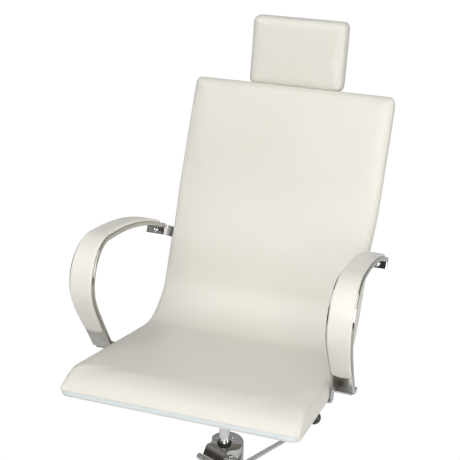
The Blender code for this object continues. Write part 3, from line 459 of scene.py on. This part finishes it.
LOCK_SHAFT = np.array((0.0, -0.036, 0.385))
KNOB = np.array((0.218, -0.050, 0.428))
lock_route = rounded([LOCK_SHAFT + (0.0623, 0, 0), LOCK_SHAFT + (0.095, 0, 0), (0.150, KNOB[1], KNOB[2]),
                      tuple(KNOB - (0.004, 0, 0))], [0.03, 0.03], 10)
lock_arm = piece_from("lock_arm", bar_along(lock_route, 0.0048), chrome, "lock_lever")
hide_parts("lock_lever")

ball_angle = np.linspace(math.radians(152), 0, 28)
ball_profile = np.concatenate([[(0, -0.0150), (0.0056, -0.0150), (0.0064, -0.0142)],
                               np.stack([0.015 * np.sin(ball_angle), 0.015 * np.cos(ball_angle)], -1)])
ball = piece_from("lock_ball", turned(ball_profile, centre=KNOB, axis=(1, 0, 0), sides=64), glossy_black,
                  "lock_lever")
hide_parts("lock_knob")
eased("lock_cam", "brake_cam", zinc, "lock_lever", 0.0005)


# ---------------------------------------------------------------- shell board and its frame
# Seat and back share one moulded plywood sheet, 10 mm thick, whose edges the vinyl covers. A zinc-plated
# channel is screwed under it, with lugs on the recline pin and a quadrant that the brake cam grips.

def birch_plywood(name, tone):
    """Moulded birch plywood, clear sealed: pale face with long grain, darker glue lines on its edges.

    The piece's UV map gives metres along the board and round its section. Grain runs along the board.
    """
    made, tree, shader = finish_named(name)
    wrap = add(tree, "ShaderNodeUVMap", uv_map="wrap").outputs["UV"]
    place = add(tree, "ShaderNodeTexCoord").outputs["Object"]
    long = add(tree, "ShaderNodeMapping", {"Vector": wrap, "Scale": (6.0, 180.0, 1.0)})
    grain = add(tree, "ShaderNodeTexNoise", {"Vector": long.outputs["Vector"], "Scale": 1.0, "Detail": 6.0,
                                             "Distortion": 0.6})
    patches = add(tree, "ShaderNodeTexNoise", {"Vector": place, "Scale": 9.0})
    face = add(tree, "ShaderNodeMix", {"Factor": grain.outputs["Fac"], "A": linear(tone),
                                       "B": linear("#c9a878")}, data_type="RGBA")
    tint = add(tree, "ShaderNodeMix", {"Factor": patches.outputs["Fac"], "A": face.outputs["Result"],
                                       "B": linear("#a98352")}, data_type="RGBA")
    satin = add(tree, "ShaderNodeMapRange", {"Value": grain.outputs["Fac"], "To Min": 0.42, "To Max": 0.62})
    bump = add(tree, "ShaderNodeBump", {"Height": grain.outputs["Fac"], "Strength": 0.3, "Distance": 0.0002})
    tree.links.new(tint.outputs["Result"], shader.inputs["Base Color"])
    tree.links.new(satin.outputs["Result"], shader.inputs["Roughness"])
    tree.links.new(bump.outputs["Normal"], shader.inputs["Normal"])
    return made


def side_carried(top, bottom, half, corner, foot, centre_x=0.0, across=26, wall=3, flat_ends=False, crown=0.0):
    """Grid of a rounded rectangle carried along a side view.

    Each row spans from a bottom point to a top point in Y and Z, and from -half to half in X. Its upper
    edges are arcs of radius corner and its lower ones of radius foot. A row whose top and bottom agree
    closes the piece. With crown, the face falls towards its edges by that share of its height, as the
    sixth power of the way out.
    """
    top, bottom = np.array(top, float), np.array(bottom, float)
    rows = len(top)
    half, corner, foot, crown = (np.broadcast_to(np.array(v, float), rows).copy() for v in (half, corner, foot, crown))
    if flat_ends:
        middle = (top + bottom) / 2
        top = np.concatenate([middle[:1], top, middle[-1:]])
        bottom = np.concatenate([middle[:1], bottom, middle[-1:]])
        half, corner, foot, crown = (np.concatenate([v[:1], v, v[-1:]]) for v in (half, corner, foot, crown))
        corner[[0, -1]] = foot[[0, -1]] = 0
    thick = np.linalg.norm(top - bottom, axis=1)
    rise = (top - bottom) / np.maximum(thick, 1e-9)[:, None]
    corner = np.minimum(corner, 0.49 * thick)
    foot = np.minimum(foot, 0.49 * thick)
    w, r, q, t = (v[:, None] for v in (half, corner, foot, thick))
    arc = np.linspace(0, math.pi / 2, 6)[1:-1][None, :]
    flat = np.linspace(-1, 1, across)[None, :]
    up = np.linspace(1, 0, wall + 2)[None, :]
    x = [flat * (w - r), (w - r) + r * np.sin(arc), np.broadcast_to(w, (len(t), wall + 2)),
         (w - q) + q * np.cos(arc), -flat * (w - q), -(w - q) - q * np.sin(arc),
         -np.broadcast_to(w, (len(t), wall + 2)), -(w - r) - r * np.cos(arc)]
    h = [t + 0 * flat, (t - r) + r * np.cos(arc), q + up * (t - r - q), q - q * np.sin(arc), 0 * flat + 0 * t,
         q - q * np.cos(arc), q + (1 - up) * (t - r - q), (t - r) + r * np.sin(arc)]
    x, h = np.concatenate(x, axis=1), np.concatenate(h, axis=1)
    h = h * (1 - crown[:, None] * np.abs(x / w) ** 6)
    y = bottom[:, :1] + rise[:, :1] * h
    z = bottom[:, 1:] + rise[:, 1:] * h
    return np.stack([x + centre_x, y, z], axis=-1)


CORNER = np.array((0.21195, 0.45198))
SEAT_FORWARD = np.array((-math.cos(math.radians(17)), math.sin(math.radians(17))))
SEAT_NORMAL = np.array((math.sin(math.radians(17)), math.cos(math.radians(17))))
BACK_UP = np.array((0.5, math.cos(math.radians(30))))
BACK_NORMAL = np.array((-math.cos(math.radians(30)), 0.5))
CREASE = 0.128


def on_seat(forward, depth):
    """A side-view point this far forward along the seat from the corner and this deep under its face."""
    return CORNER + SEAT_FORWARD * forward - SEAT_NORMAL * depth


def on_back(up, depth):
    """A side-view point this far up the back from the corner and this deep behind its face."""
    return CORNER + BACK_UP * up - BACK_NORMAL * depth


def corner_below(seat_depth, back_depth):
    """Where the seat line and the back line meet once both are moved inwards by these depths."""
    lines = np.stack([SEAT_FORWARD, -BACK_UP], axis=1)
    along = np.linalg.solve(lines, on_back(0, back_depth) - on_seat(0, seat_depth))[0]
    return on_seat(along, seat_depth)


def evenly(path, count):
    """The path sampled again at this many points, evenly spaced by length."""
    length = np.concatenate([[0], np.cumsum(np.linalg.norm(np.diff(path, axis=0), axis=1))])
    wanted = np.linspace(0, length[-1], count)
    return np.stack([np.interp(wanted, length, path[:, k]) for k in range(path.shape[1])], axis=-1)


SEAT_FOAM = 0.042
BACK_FOAM = 0.028
BOARD = 0.010
BOARD_FRONT, BOARD_HEAD = 0.544, 0.607
board_top = evenly(rounded([on_seat(BOARD_FRONT, SEAT_FOAM + 0.0003),
                            corner_below(SEAT_FOAM + 0.0003, BACK_FOAM + 0.0003),
                            on_back(BOARD_HEAD, BACK_FOAM + 0.0003)], [CREASE + 0.037], 24), 90)
board_low = evenly(rounded([on_seat(BOARD_FRONT, SEAT_FOAM + BOARD),
                            corner_below(SEAT_FOAM + BOARD, BACK_FOAM + BOARD),
                            on_back(BOARD_HEAD, BACK_FOAM + BOARD)], [CREASE + 0.037 + BOARD], 24), 90)
plywood = birch_plywood("sealed_birch_plywood", "#b08a5a")


def cambric(name, tone):
    """Beige spun-bonded dust cloth: dull, with short crossed fibres and a dot pattern from its rolls."""
    made, tree, shader = finish_named(name, Roughness=0.95, Sheen_Weight=0.2, Specular_IOR_Level=0.2)
    place = add(tree, "ShaderNodeTexCoord").outputs["Object"]
    fibres = add(tree, "ShaderNodeTexNoise", {"Vector": place, "Scale": 1 / 0.0025, "Detail": 5.0, "Distortion": 1.5})
    dots = add(tree, "ShaderNodeTexVoronoi", {"Vector": place, "Scale": 1 / 0.0020})
    tint = add(tree, "ShaderNodeMix", {"Factor": fibres.outputs["Fac"], "A": linear(tone),
                                       "B": linear("#c2bcae")}, data_type="RGBA")
    bump = add(tree, "ShaderNodeBump", {"Height": dots.outputs["Distance"], "Strength": 0.5, "Distance": 0.0003})
    tree.links.new(tint.outputs["Result"], shader.inputs["Base Color"])
    tree.links.new(bump.outputs["Normal"], shader.inputs["Normal"])
    return made


dust_top = board_low[4:46]
dust_down = np.gradient(dust_top, axis=0)
dust_down = np.stack([dust_down[:, 1], -dust_down[:, 0]], -1) / np.linalg.norm(dust_down, axis=1)[:, None]
dust_down *= np.sign(-dust_down @ SEAT_NORMAL)[:, None]
dust_cover = piece_from("under_seat_dust_cloth", side_carried(dust_top + dust_down * 0.00025, dust_top, 0.222, 0, 0,
                                                              flat_ends=True), cambric("beige_dust_cloth", "#b3ac9c"),
                        "shell")

eased("recline_channel", "tilt_frame", zinc, "shell")
eased("recline_quadrant", "brake_quadrant", zinc, "shell", 0.0004)
for bush in ("pivot_bush_left", "pivot_bush_right"):
    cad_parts[bush].data.materials.clear()
    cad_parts[bush].data.materials.append(moulded_black)

for number in range(1, 5):
    low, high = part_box(f"frame_screw_{number}")
    centre = np.array((low + high) / 2)
    down = np.array((0, -SEAT_NORMAL[0], -SEAT_NORMAL[1]))
    screw = piece_from(f"channel_screw_{number}", turned([
        (0, -0.0025), (0.0070, -0.0025), (0.0070, -0.0008), (0.0058, 0.0012), (0.0038, 0.0023), (0.0024, 0.0025),
        (0.0021, 0.0025), (0.0021, 0.0002), (0, 0.0002)], centre=centre, axis=down, sides=48, hexagon=(6, 7)),
        zinc, "shell")
    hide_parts(f"frame_screw_{number}")


# ---------------------------------------------------------------- shell cushion
# One long foam pad under soft cream vinyl covers the seat and back without a break. The vinyl is
# pulled over a round nose and a rounded top, and boxed at the sides, with a sewn seam on each edge.

def soft_vinyl(name, tone, shade, gloss):
    """Upholstery vinyl on knitted backing: satin, with a calf grain, soft hollows and faint mottling."""
    made, tree, shader = finish_named(name, IOR=1.5, Coat_Weight=0.12, Coat_Roughness=0.35,
                                      Sheen_Weight=0.08, Sheen_Roughness=0.4)
    place = add(tree, "ShaderNodeTexCoord").outputs["Object"]
    mottle = add(tree, "ShaderNodeTexNoise", {"Vector": place, "Scale": 7.0, "Detail": 3.0})
    tint = add(tree, "ShaderNodeMix", {"Factor": mottle.outputs["Fac"], "A": linear(tone),
                                       "B": linear(shade)}, data_type="RGBA")
    # calf grain cells of 2 mm, twice the real 1 mm so that they show
    cells = add(tree, "ShaderNodeTexVoronoi", {"Vector": place, "Scale": 1 / 0.0020}, feature="SMOOTH_F1")
    fine = add(tree, "ShaderNodeTexNoise", {"Vector": place, "Scale": 1 / 0.0009, "Detail": 3.0})
    grain = add(tree, "ShaderNodeMath", {0: cells.outputs["Distance"], 1: fine.outputs["Fac"]}, operation="ADD")
    hollows = add(tree, "ShaderNodeTexNoise", {"Vector": place, "Scale": 13.0, "Detail": 2.0})
    soft = add(tree, "ShaderNodeBump", {"Height": hollows.outputs["Fac"], "Strength": 0.35, "Distance": 0.004})
    bump = add(tree, "ShaderNodeBump", {"Height": grain.outputs["Value"], "Strength": 0.22, "Distance": 0.0003,
                                        "Normal": soft.outputs["Normal"]})
    satin = add(tree, "ShaderNodeMapRange", {"Value": fine.outputs["Fac"], "To Min": gloss - 0.06,
                                             "To Max": gloss + 0.08})
    tree.links.new(tint.outputs["Result"], shader.inputs["Base Color"])
    tree.links.new(satin.outputs["Result"], shader.inputs["Roughness"])
    tree.links.new(bump.outputs["Normal"], shader.inputs["Normal"])
    return made


def inflated(piece, held, pressure, cap):
    """Lets the cover swell as foam fills it: cloth under pressure, held where the board is, capped."""
    group = piece.vertex_groups.new(name="held")
    group.add([int(i) for i in np.flatnonzero(held)], 1.0, "REPLACE")
    cloth = piece.modifiers.new("swell", "CLOTH")
    cloth.settings.quality = 4
    cloth.settings.mass = 0.35
    cloth.settings.tension_stiffness = 30
    cloth.settings.compression_stiffness = 30
    cloth.settings.bending_stiffness = 2.0
    cloth.settings.vertex_group_mass = "held"
    cloth.settings.use_pressure = True
    cloth.settings.uniform_pressure_force = pressure
    cloth.settings.effector_weights.gravity = 0
    cloth.collision_settings.use_collision = False
    cloth.point_cache.frame_end = 20
    scene = bpy.context.scene
    for step in range(1, 21):
        scene.frame_set(step)
    swollen = piece.evaluated_get(bpy.context.evaluated_depsgraph_get()).data
    count = len(piece.data.vertices)
    rest, moved = np.zeros(count * 3), np.zeros(count * 3)
    piece.data.vertices.foreach_get("co", rest)
    swollen.vertices.foreach_get("co", moved)
    step = (moved - rest).reshape(-1, 3)
    size = np.linalg.norm(step, axis=1)
    step *= np.minimum(1, cap / np.maximum(size, 1e-9))[:, None]
    piece.modifiers.remove(cloth)
    scene.frame_set(1)
    piece.data.vertices.foreach_set("co", rest + step.ravel())
    piece.data.update()


def rounded_end(distance, radius):
    """How far a plan corner of this radius has drawn the edge in, at these distances from the end."""
    near = np.clip(distance, 0, radius)
    return radius - np.sqrt(np.maximum(radius ** 2 - (radius - near) ** 2, 0))


BACK_TOP = 0.617
SEAT_FRONT = 0.554
NOSE = 0.070
nose_centre = on_seat(SEAT_FRONT - NOSE, NOSE)
nose_low = math.asin((NOSE - SEAT_FOAM) / NOSE)
nose_angle = np.linspace(nose_low, math.pi / 2, 16)[:, None]
nose = nose_centre + NOSE * (np.cos(nose_angle) * SEAT_FORWARD + np.sin(nose_angle) * SEAT_NORMAL)
face_line = rounded([nose[-1], CORNER, on_back(BACK_TOP, 0), on_back(BACK_TOP, BACK_FOAM)], [CREASE, 0.018], 20)
cushion_top = evenly(np.concatenate([nose, face_line[1:]]), 150)
cushion_low = evenly(rounded([nose[0], corner_below(SEAT_FOAM, BACK_FOAM), on_back(BACK_TOP, BACK_FOAM)],
                             [CREASE + 0.036], 20), 150)
up_back = (cushion_top - CORNER) @ BACK_UP
on_the_back = np.clip((up_back - 0.06) / 0.06, 0, 1)
swell = 0.009 * np.exp(-((up_back - 0.185) / 0.075) ** 2) - 0.007 * np.exp(-((up_back - 0.360) / 0.110) ** 2)
cushion_top = cushion_top + BACK_NORMAL * (swell * on_the_back)[:, None]
travel = np.concatenate([[0], np.cumsum(np.linalg.norm(np.diff(cushion_top, axis=0), axis=1))])
cushion_half = 0.2485 + 0.0065 * np.clip((up_back - 0.24) / 0.10, 0, 1)
lumbar = np.exp(-((up_back - 0.13) / 0.12) ** 2) * np.clip(up_back / 0.05, 0, 1)
cushion_crown = 0.03 + 0.17 * lumbar
cushion_half -= rounded_end(travel[-1] - travel, 0.030) + 0.8 * rounded_end(travel, 0.012)
cream_vinyl = soft_vinyl("cream_upholstery_vinyl", "#d9d6ce", "#d3d0c6", 0.40)
cushion_grid = side_carried(cushion_top, cushion_low, cushion_half, 0.013, 0.003, across=44, wall=4,
                            crown=cushion_crown)
cushion = piece_from("shell_upholstery", cushion_grid, cream_vinyl, "shell", sharp=180)
rest = np.array([v.co for v in cushion.data.vertices])
under_seat = (rest[:, 1:] - CORNER) @ SEAT_NORMAL < -SEAT_FOAM + 0.0015
behind_back = (rest[:, 1:] - CORNER) @ BACK_NORMAL < -BACK_FOAM + 0.0015
inflated(cushion, under_seat | behind_back, 4.0, 0.0020)
smooth = cushion.modifiers.new("smooth", "SUBSURF")
smooth.levels = smooth.render_levels = 1
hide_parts("shell_cushion")

# the same vinyl turned over the plywood board's edge and stapled under it
BOARD_LENGTH = 1.1
along_board = np.linspace(0, BOARD_LENGTH, 90)
wrap_half = 0.2475 + 0.0055 * np.clip((along_board - 0.80) / 0.10, 0, 1)
wrap_half -= 0.8 * rounded_end(along_board, 0.012) + rounded_end(BOARD_LENGTH - along_board, 0.030)
wrap = piece_from("vinyl_over_the_board", side_carried(board_top, board_low, wrap_half, 0.0010, 0.0045, across=40,
                                                       flat_ends=True), cream_vinyl, "shell", sharp=50)
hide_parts("shell_board")

# sewn seams where the face meets the boxing: a 1.8 mm ridge of two folded edges
settled = np.zeros(len(cushion.data.vertices) * 3)
cushion.data.vertices.foreach_get("co", settled)
settled = settled.reshape(-1, 3)
seam_rows = np.arange(6, 138)
for side_name, column in (("left", 46), ("right", -2)):
    line = cushion_grid[seam_rows, column]
    nearest = np.argmin(np.linalg.norm(rest[None] - line[:, None], axis=2), axis=1)
    seam = piece_from(f"shell_seam_{side_name}", bar_along(settled[nearest], 0.0009, 8), cream_vinyl, "shell",
                      sharp=180)

pale_strip = soft_vinyl("pale_extruded_vinyl_strip", "#cfd5d7", "#c9d0d3", 0.30)
strip_line = np.linspace(-1, 1, 60)
strip_x = 0.243 * strip_line
strip_back = 0.0068 * np.clip((np.abs(strip_line) - 0.95) / 0.05, 0, 1) ** 2
strip_section = rounded([(0.0, 0.0012), (0.0038, 0.0012), (0.0044, -0.0028), (0.0038, -0.0066), (0.0, -0.0066)],
                        [0.0011, 0.006, 0.0011], 5)
strip_seat = on_seat(0.5443, SEAT_FOAM)
strip_y = (strip_seat[0] + SEAT_FORWARD[0] * (strip_section[None, :, 0] - strip_back[:, None])
           + SEAT_NORMAL[0] * strip_section[None, :, 1])
strip_z = (strip_seat[1] + SEAT_FORWARD[1] * (strip_section[None, :, 0] - strip_back[:, None])
           + SEAT_NORMAL[1] * strip_section[None, :, 1])
strip_grid = np.stack([np.broadcast_to(strip_x[:, None], strip_y.shape), strip_y, strip_z], axis=-1)
strip_grid = np.concatenate([np.repeat(strip_grid[:1].mean(1, keepdims=True), strip_grid.shape[1], 1), strip_grid,
                             np.repeat(strip_grid[-1:].mean(1, keepdims=True), strip_grid.shape[1], 1)])
strip = piece_from("front_strip", strip_grid, pale_strip, "shell")
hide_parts("front_edge_strip")


# ---------------------------------------------------------------- back panel
# The back of the shell is closed by a thin board under the same vinyl, held by hidden clips. Its welt of vinyl-covered
# cord
# is not drawn: the panel only thins and rounds towards its edge.

panel_depth = BACK_FOAM + BOARD + 0.0006
PANEL_FOOT, PANEL_TOP = 0.160, 0.605
panel_up = evenly(np.array([[PANEL_FOOT, 0], [PANEL_TOP, 0]]), 60)[:, 0]
panel_top = np.stack([on_back(v, panel_depth) for v in panel_up])
panel_edge = np.minimum(panel_up - PANEL_FOOT, PANEL_TOP - panel_up)
panel_puff = 0.0012 + 0.0025 * np.clip(panel_edge / 0.03, 0, 1) ** 0.5
panel_low = panel_top - BACK_NORMAL * panel_puff[:, None]
panel_half = 0.241 - rounded_end(panel_edge, 0.022)
panel_grid = side_carried(panel_low, panel_top, panel_half, 0.0030, 0.0004, across=40, flat_ends=True)
panel = piece_from("back_cover_panel", panel_grid, cream_vinyl, "shell", sharp=60)
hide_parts("back_panel")


# ---------------------------------------------------------------- arms
# Each arm is one chromed steel bar, 48 by 9 mm and spread to 57 mm in the front bend, bolted at both
# ends to folded zinc brackets round the shell's edge. A thin vinyl pad is glued along its top.

ARM_INNER_X = 0.2535
ARM_WIDTH = 0.048
ARM_THICK = 0.009
ARM_FOOT = np.array((-0.048, 0.504))
ARM_REAR = np.array((0.303, 0.662))
ARM_BELLY = np.array((-0.165, 0.740))
arm_path = rounded([ARM_FOOT - SEAT_FORWARD * 0.029, ARM_FOOT, (-0.128, 0.648), (-0.193, 0.815), (0.120, 0.752),
                    ARM_REAR, ARM_REAR - BACK_UP * 0.029], [0.010, 0.300, 0.084, 0.900, 0.012], 22)
arm_path = evenly(arm_path, 220)
arm_ahead = np.gradient(arm_path, axis=0)
arm_ahead /= np.linalg.norm(arm_ahead, axis=1)[:, None]
arm_inward = np.stack([arm_ahead[:, 1], -arm_ahead[:, 0]], axis=-1)
arm_length = np.concatenate([[0], np.cumsum(np.linalg.norm(np.diff(arm_path, axis=0), axis=1))])
light_vinyl = soft_vinyl("light_cream_pad_vinyl", "#dfddd5", "#d9d6cd", 0.38)
# the arm bars' chrome is toned darker than the other chrome so that the bright floor and room it mirrors come out dim:
# painted shade in the metal's colour
shaded_arm_chrome = chrome_plate("chromed_arm_bar", "#9a9892", 0.00003, "#c4c2bb")

pad_start, pad_end = 0.097, arm_length[-1] - 0.050
pad_at = pad_start + (pad_end - pad_start) * (0.5 - 0.5 * np.cos(np.linspace(0, math.pi, 130)))
pad_on = np.stack([np.interp(pad_at, arm_length, arm_path[:, k]) for k in (0, 1)], -1)
pad_out = -np.stack([np.interp(pad_at, arm_length, arm_inward[:, k]) for k in (0, 1)], -1)
pad_edge = np.minimum(pad_at - pad_start, pad_end - pad_at)
ARM_SPREAD = 0.0043
ARM_LEAN_IN = 0.0015
arm_share = np.exp(-(np.linalg.norm(arm_path - ARM_BELLY, axis=1) / 0.130) ** 2)
pad_share = np.interp(pad_at, arm_length, arm_share)
pad_half = 0.0205 + 0.0042 * pad_share - rounded_end(pad_edge, 0.0200)
pad_thick = 0.0003 + 0.0060 * np.clip(pad_edge / 0.032, 0, 1) ** 0.8
for side_name, side in (("left", 1), ("right", -1)):
    middle_x = side * (ARM_INNER_X + ARM_WIDTH / 2)
    band_half = ARM_WIDTH / 2 + ARM_SPREAD * arm_share
    band_grid = side_carried(arm_path, arm_path + arm_inward * ARM_THICK, band_half, 0.0018,
                             0.0018, middle_x, across=10, flat_ends=True)
    band_grid[1:-1, :, 0] -= side * ARM_LEAN_IN * arm_share[:, None]
    band = piece_from(f"arm_bar_{side_name}", band_grid, shaded_arm_chrome, "shell", sharp=40)
    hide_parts(f"arm_band_{side_name}")
    pad_grid = side_carried(pad_on + pad_out * pad_thick[:, None], pad_on + pad_out * 0.0003, pad_half, 0.0055,
                            0.0006, middle_x, across=16)
    pad_grid[:, :, 0] -= side * ARM_LEAN_IN * pad_share[:, None]
    pad = piece_from(f"arm_cushion_{side_name}", pad_grid, light_vinyl, "shell", sharp=180)
    pad_rest = np.array([v.co for v in pad.data.vertices])
    off_bar = np.min(np.linalg.norm(pad_rest[:, None, 1:] - (pad_on + pad_out * 0.0003)[None, ::2], axis=2), axis=1)
    inflated(pad, off_bar < 0.0014, 3.0, 0.0016)
    finer = pad.modifiers.new("smooth", "SUBSURF")
    finer.levels = finer.render_levels = 1
    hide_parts(f"arm_pad_{side_name}")
    for end, outward in (("seat", SEAT_NORMAL), ("back", BACK_NORMAL)):
        eased(f"{end}_bracket_{side_name}", f"arm_{end}_bracket_{side_name}", zinc, "shell", 0.0005)
        low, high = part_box(f"arm_{end}_bolt_{side_name}")
        axis = np.array((0.0, *outward))
        middle = np.array((low + high) / 2)
        reach = 0.5 * (ARM_THICK + 0.003 + 0.003 + 0.0045)
        head_foot = middle + axis * (reach - 0.0045)
        bolt = piece_from(f"{end}_bolt_{side_name}", turned([
            (0, -2 * reach + 0.0045), (0.0035, -2 * reach + 0.0045), (0.0035, 0.0), (0.0072, 0.0), (0.0075, 0.0004),
            (0.0073, 0.0018), (0.0062, 0.0033), (0.0045, 0.0042), (0.0028, 0.0045), (0.0024, 0.0045),
            (0.0024, 0.0018), (0, 0.0018)], centre=head_foot, axis=axis, sides=48, hexagon=(9, 10)), chrome, "shell")
        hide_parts(f"arm_{end}_bolt_{side_name}")


# ---------------------------------------------------------------- headrest
# A chromed flat bar slides in a nylon socket on the back and is clamped by a lobed knob. It carries a
# forked hinge, and on that a plywood board with a thick foam pad under the same cream vinyl.

bar_depth = 0.049
bar_centre = evenly(rounded([on_back(0.415, bar_depth), on_back(0.601, bar_depth), (0.5902, 0.9692),
                             (0.61715, 1.04462)], [0.020, 0.020], 14), 80)
bar_ahead = np.gradient(bar_centre, axis=0)
bar_ahead /= np.linalg.norm(bar_ahead, axis=1)[:, None]
bar_side = np.stack([bar_ahead[:, 1], -bar_ahead[:, 0]], -1)
bar = piece_from("headrest_stem", side_carried(bar_centre - bar_side * 0.003, bar_centre + bar_side * 0.003, 0.016,
                                               0.0012, 0.0012, across=8, flat_ends=True), chrome, "headrest_bar",
                 sharp=40)
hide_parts("headrest_bar")

low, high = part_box("headrest_pin")
hinge_pin = piece_from("hinge_pin", turned([
    (0, low.x), (0.0030, low.x), (0.0040, low.x + 0.0010), (0.0040, high.x - 0.0010), (0.0030, high.x), (0, high.x)],
    centre=(0, (low.y + high.y) / 2, (low.z + high.z) / 2), axis=(1, 0, 0), sides=40), chrome, "headrest_bar")
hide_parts("headrest_pin")

eased("stem_socket", "headrest_socket", moulded_black, "shell", 0.0015)
eased("hinge_fork", "headrest_hinge", zinc, "headrest", 0.0005)
eased("headrest_backboard", "headrest_board", plywood, "headrest", 0.0006)

knob_foot = np.array((0.0, 0.52718, 0.88198))
knob = piece_from("clamp_knob", turned([
    (0.004, -0.0050), (0.004, 0.0015), (0.0120, 0.0015), (0.0147, 0.0032), (0.0152, 0.0060), (0.0150, 0.0105),
    (0.0142, 0.0140), (0.0120, 0.0160), (0.0085, 0.0168), (0.0040, 0.0166), (0, 0.0164)],
    centre=knob_foot, axis=(0, -BACK_NORMAL[0], -BACK_NORMAL[1]), sides=96, lobes=7, lobe_depth=0.05),
    moulded_black, "clamp_knob", sharp=50)
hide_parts("headrest_clamp_knob")

# the pad leans 13 degrees with the shell, less 3 at its own hinge
HEAD_LEAN = math.radians(10)
head_up = np.array((math.sin(HEAD_LEAN), math.cos(HEAD_LEAN)))
head_face = np.array((-math.cos(HEAD_LEAN), math.sin(HEAD_LEAN)))
pad_low, pad_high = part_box("headrest_pad")
pad_middle = np.array(((pad_low.y + pad_high.y) / 2, (pad_low.z + pad_high.z) / 2))
HEAD_FOAM = 0.0497
HEAD_HEIGHT = 0.170
height_at = HEAD_HEIGHT * (0.5 - 0.5 * np.cos(np.linspace(0, math.pi, 64)))
head_edge = np.minimum(height_at, HEAD_HEIGHT - height_at)
front_draw = rounded_end(head_edge, 0.016)
rear_line = pad_middle - head_face * HEAD_FOAM / 2 + head_up * (height_at - HEAD_HEIGHT / 2 - 0.0015)[:, None]
head_thick = np.maximum(HEAD_FOAM - 0.002 - front_draw, 0.0)
head_front = rear_line + head_face * head_thick[:, None]
head_grid = side_carried(head_front, rear_line, 0.1185 - 0.9 * rounded_end(head_edge, 0.014), 0.014, 0.007,
                         across=40, wall=5, flat_ends=True)
head_pad = piece_from("headrest_cushion", head_grid, cream_vinyl, "headrest", sharp=180)
pad_rest = np.array([v.co for v in head_pad.data.vertices])
on_board = (pad_rest[:, 1:] - rear_line[0]) @ head_face < 0.0008
inflated(head_pad, on_board, 4.0, 0.0011)
head_smooth = head_pad.modifiers.new("smooth", "SUBSURF")
head_smooth.levels = head_smooth.render_levels = 1
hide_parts("headrest_pad")


# ---------------------------------------------------------------- floor, light and camera
# A plain pale floor under broad soft light. The room is bright overhead and dim along its walls,
# which gives the chrome its dark lines.

floor_mesh = bpy.data.meshes.new("floor")
floor_mesh.from_pydata([(-9, -9, -0.0005), (9, -9, -0.0005), (9, 9, -0.0005), (-9, 9, -0.0005)], [], [(0, 1, 2, 3)])
floor_finish, floor_tree, floor_shader = finish_named("pale_studio_floor", Roughness=0.9)
floor_shader.inputs["Base Color"].default_value = (0.80, 0.80, 0.80, 1.0)
lit_sweep = add(floor_tree, "ShaderNodeEmission", {"Color": (1.0, 1.0, 1.0, 1.0), "Strength": 1.02})
seen = add(floor_tree, "ShaderNodeLightPath")
sweep = add(floor_tree, "ShaderNodeMixShader", {0: seen.outputs["Is Camera Ray"], 1: floor_shader.outputs["BSDF"],
                                                2: lit_sweep.outputs["Emission"]})
floor_tree.links.new(sweep.outputs["Shader"], floor_tree.nodes["Material Output"].inputs["Surface"])
floor_mesh.materials.append(floor_finish)
floor = bpy.data.objects.new("floor", floor_mesh)
bpy.context.scene.collection.objects.link(floor)

room = bpy.data.worlds.new("studio_room")
room.use_nodes = True
tree = room.node_tree
look = add(tree, "ShaderNodeTexCoord").outputs["Generated"]
parts = add(tree, "ShaderNodeSeparateXYZ", {"Vector": look})
overhead = add(tree, "ShaderNodeMapRange", {"Value": parts.outputs["Z"], "From Min": 0.18, "From Max": 0.55},
               interpolation_type="SMOOTHSTEP")
aside = add(tree, "ShaderNodeMath", {0: parts.outputs["X"], 1: 0.8, 2: parts.outputs["Y"]}, operation="MULTIPLY_ADD")
behind = add(tree, "ShaderNodeMapRange", {"Value": aside.outputs["Value"], "From Min": 0.2, "From Max": 0.8},
             interpolation_type="SMOOTHSTEP")
walls = add(tree, "ShaderNodeMix", {"Factor": behind.outputs["Result"], "A": (0.17, 0.145, 0.125, 1),
                                    "B": (0.80, 0.82, 0.86, 1)}, data_type="RGBA")
ceiling = add(tree, "ShaderNodeMix", {"Factor": overhead.outputs["Result"], "A": walls.outputs["Result"],
                                      "B": (1.0, 1.0, 1.0, 1)}, data_type="RGBA")
background = tree.nodes["Background"]
tree.links.new(ceiling.outputs["Result"], background.inputs["Color"])
background.inputs["Strength"].default_value = 0.45
backdrop = add(tree, "ShaderNodeBackground", {"Color": (1.0, 1.0, 1.0, 1.0), "Strength": 1.02})
direct = add(tree, "ShaderNodeLightPath")
shown = add(tree, "ShaderNodeMixShader", {0: direct.outputs["Is Camera Ray"], 1: background.outputs["Background"],
                                          2: backdrop.outputs["Background"]})
tree.links.new(shown.outputs["Shader"], tree.nodes["World Output"].inputs["Surface"])
bpy.context.scene.world = room


def softbox(name, place, target, size, power):
    """A square area light that faces its target."""
    lamp = bpy.data.lights.new(name, "AREA")
    lamp.shape = "SQUARE"
    lamp.size = size
    lamp.energy = power
    made = bpy.data.objects.new(name, lamp)
    made.location = place
    made.rotation_mode = "QUATERNION"
    aim = np.array(target, float) - np.array(place, float)
    made.rotation_quaternion = Vector(aim).to_track_quat("-Z", "Y")
    bpy.context.scene.collection.objects.link(made)


softbox("front_softbox", (1.0, -3.5, 2.6), (0, 0, 0.6), 2.4, 95)
softbox("top_softbox", (-0.2, -1.2, 3.4), (0, 0, 0.4), 2.6, 38)
softbox("side_softbox", (3.2, -0.6, 1.1), (0, 0, 0.6), 1.8, 26)

heading, pitch, roll = math.radians(17.26), math.radians(25.5), math.radians(1.0)
right = np.array((math.cos(heading), math.sin(heading), 0.0))
ahead = np.array((-math.sin(heading) * math.cos(pitch), math.cos(heading) * math.cos(pitch), -math.sin(pitch)))
above = np.cross(right, ahead)
rolled_right = right * math.cos(roll) + above * math.sin(roll)
rolled_above = above * math.cos(roll) - right * math.sin(roll)
turn = np.stack([rolled_right, rolled_above, -ahead], axis=1)
lens = bpy.data.cameras.new("camera")
lens.sensor_width = 36.0
lens.lens = 79.61
camera = bpy.data.objects.new("camera", lens)
camera.matrix_world = Matrix.Translation((0.5759, -1.8393, 1.7401)) @ Matrix(turn.tolist()).to_4x4()
bpy.context.scene.collection.objects.link(camera)
bpy.context.scene.camera = camera
bpy.context.scene.view_settings.view_transform = "Standard"
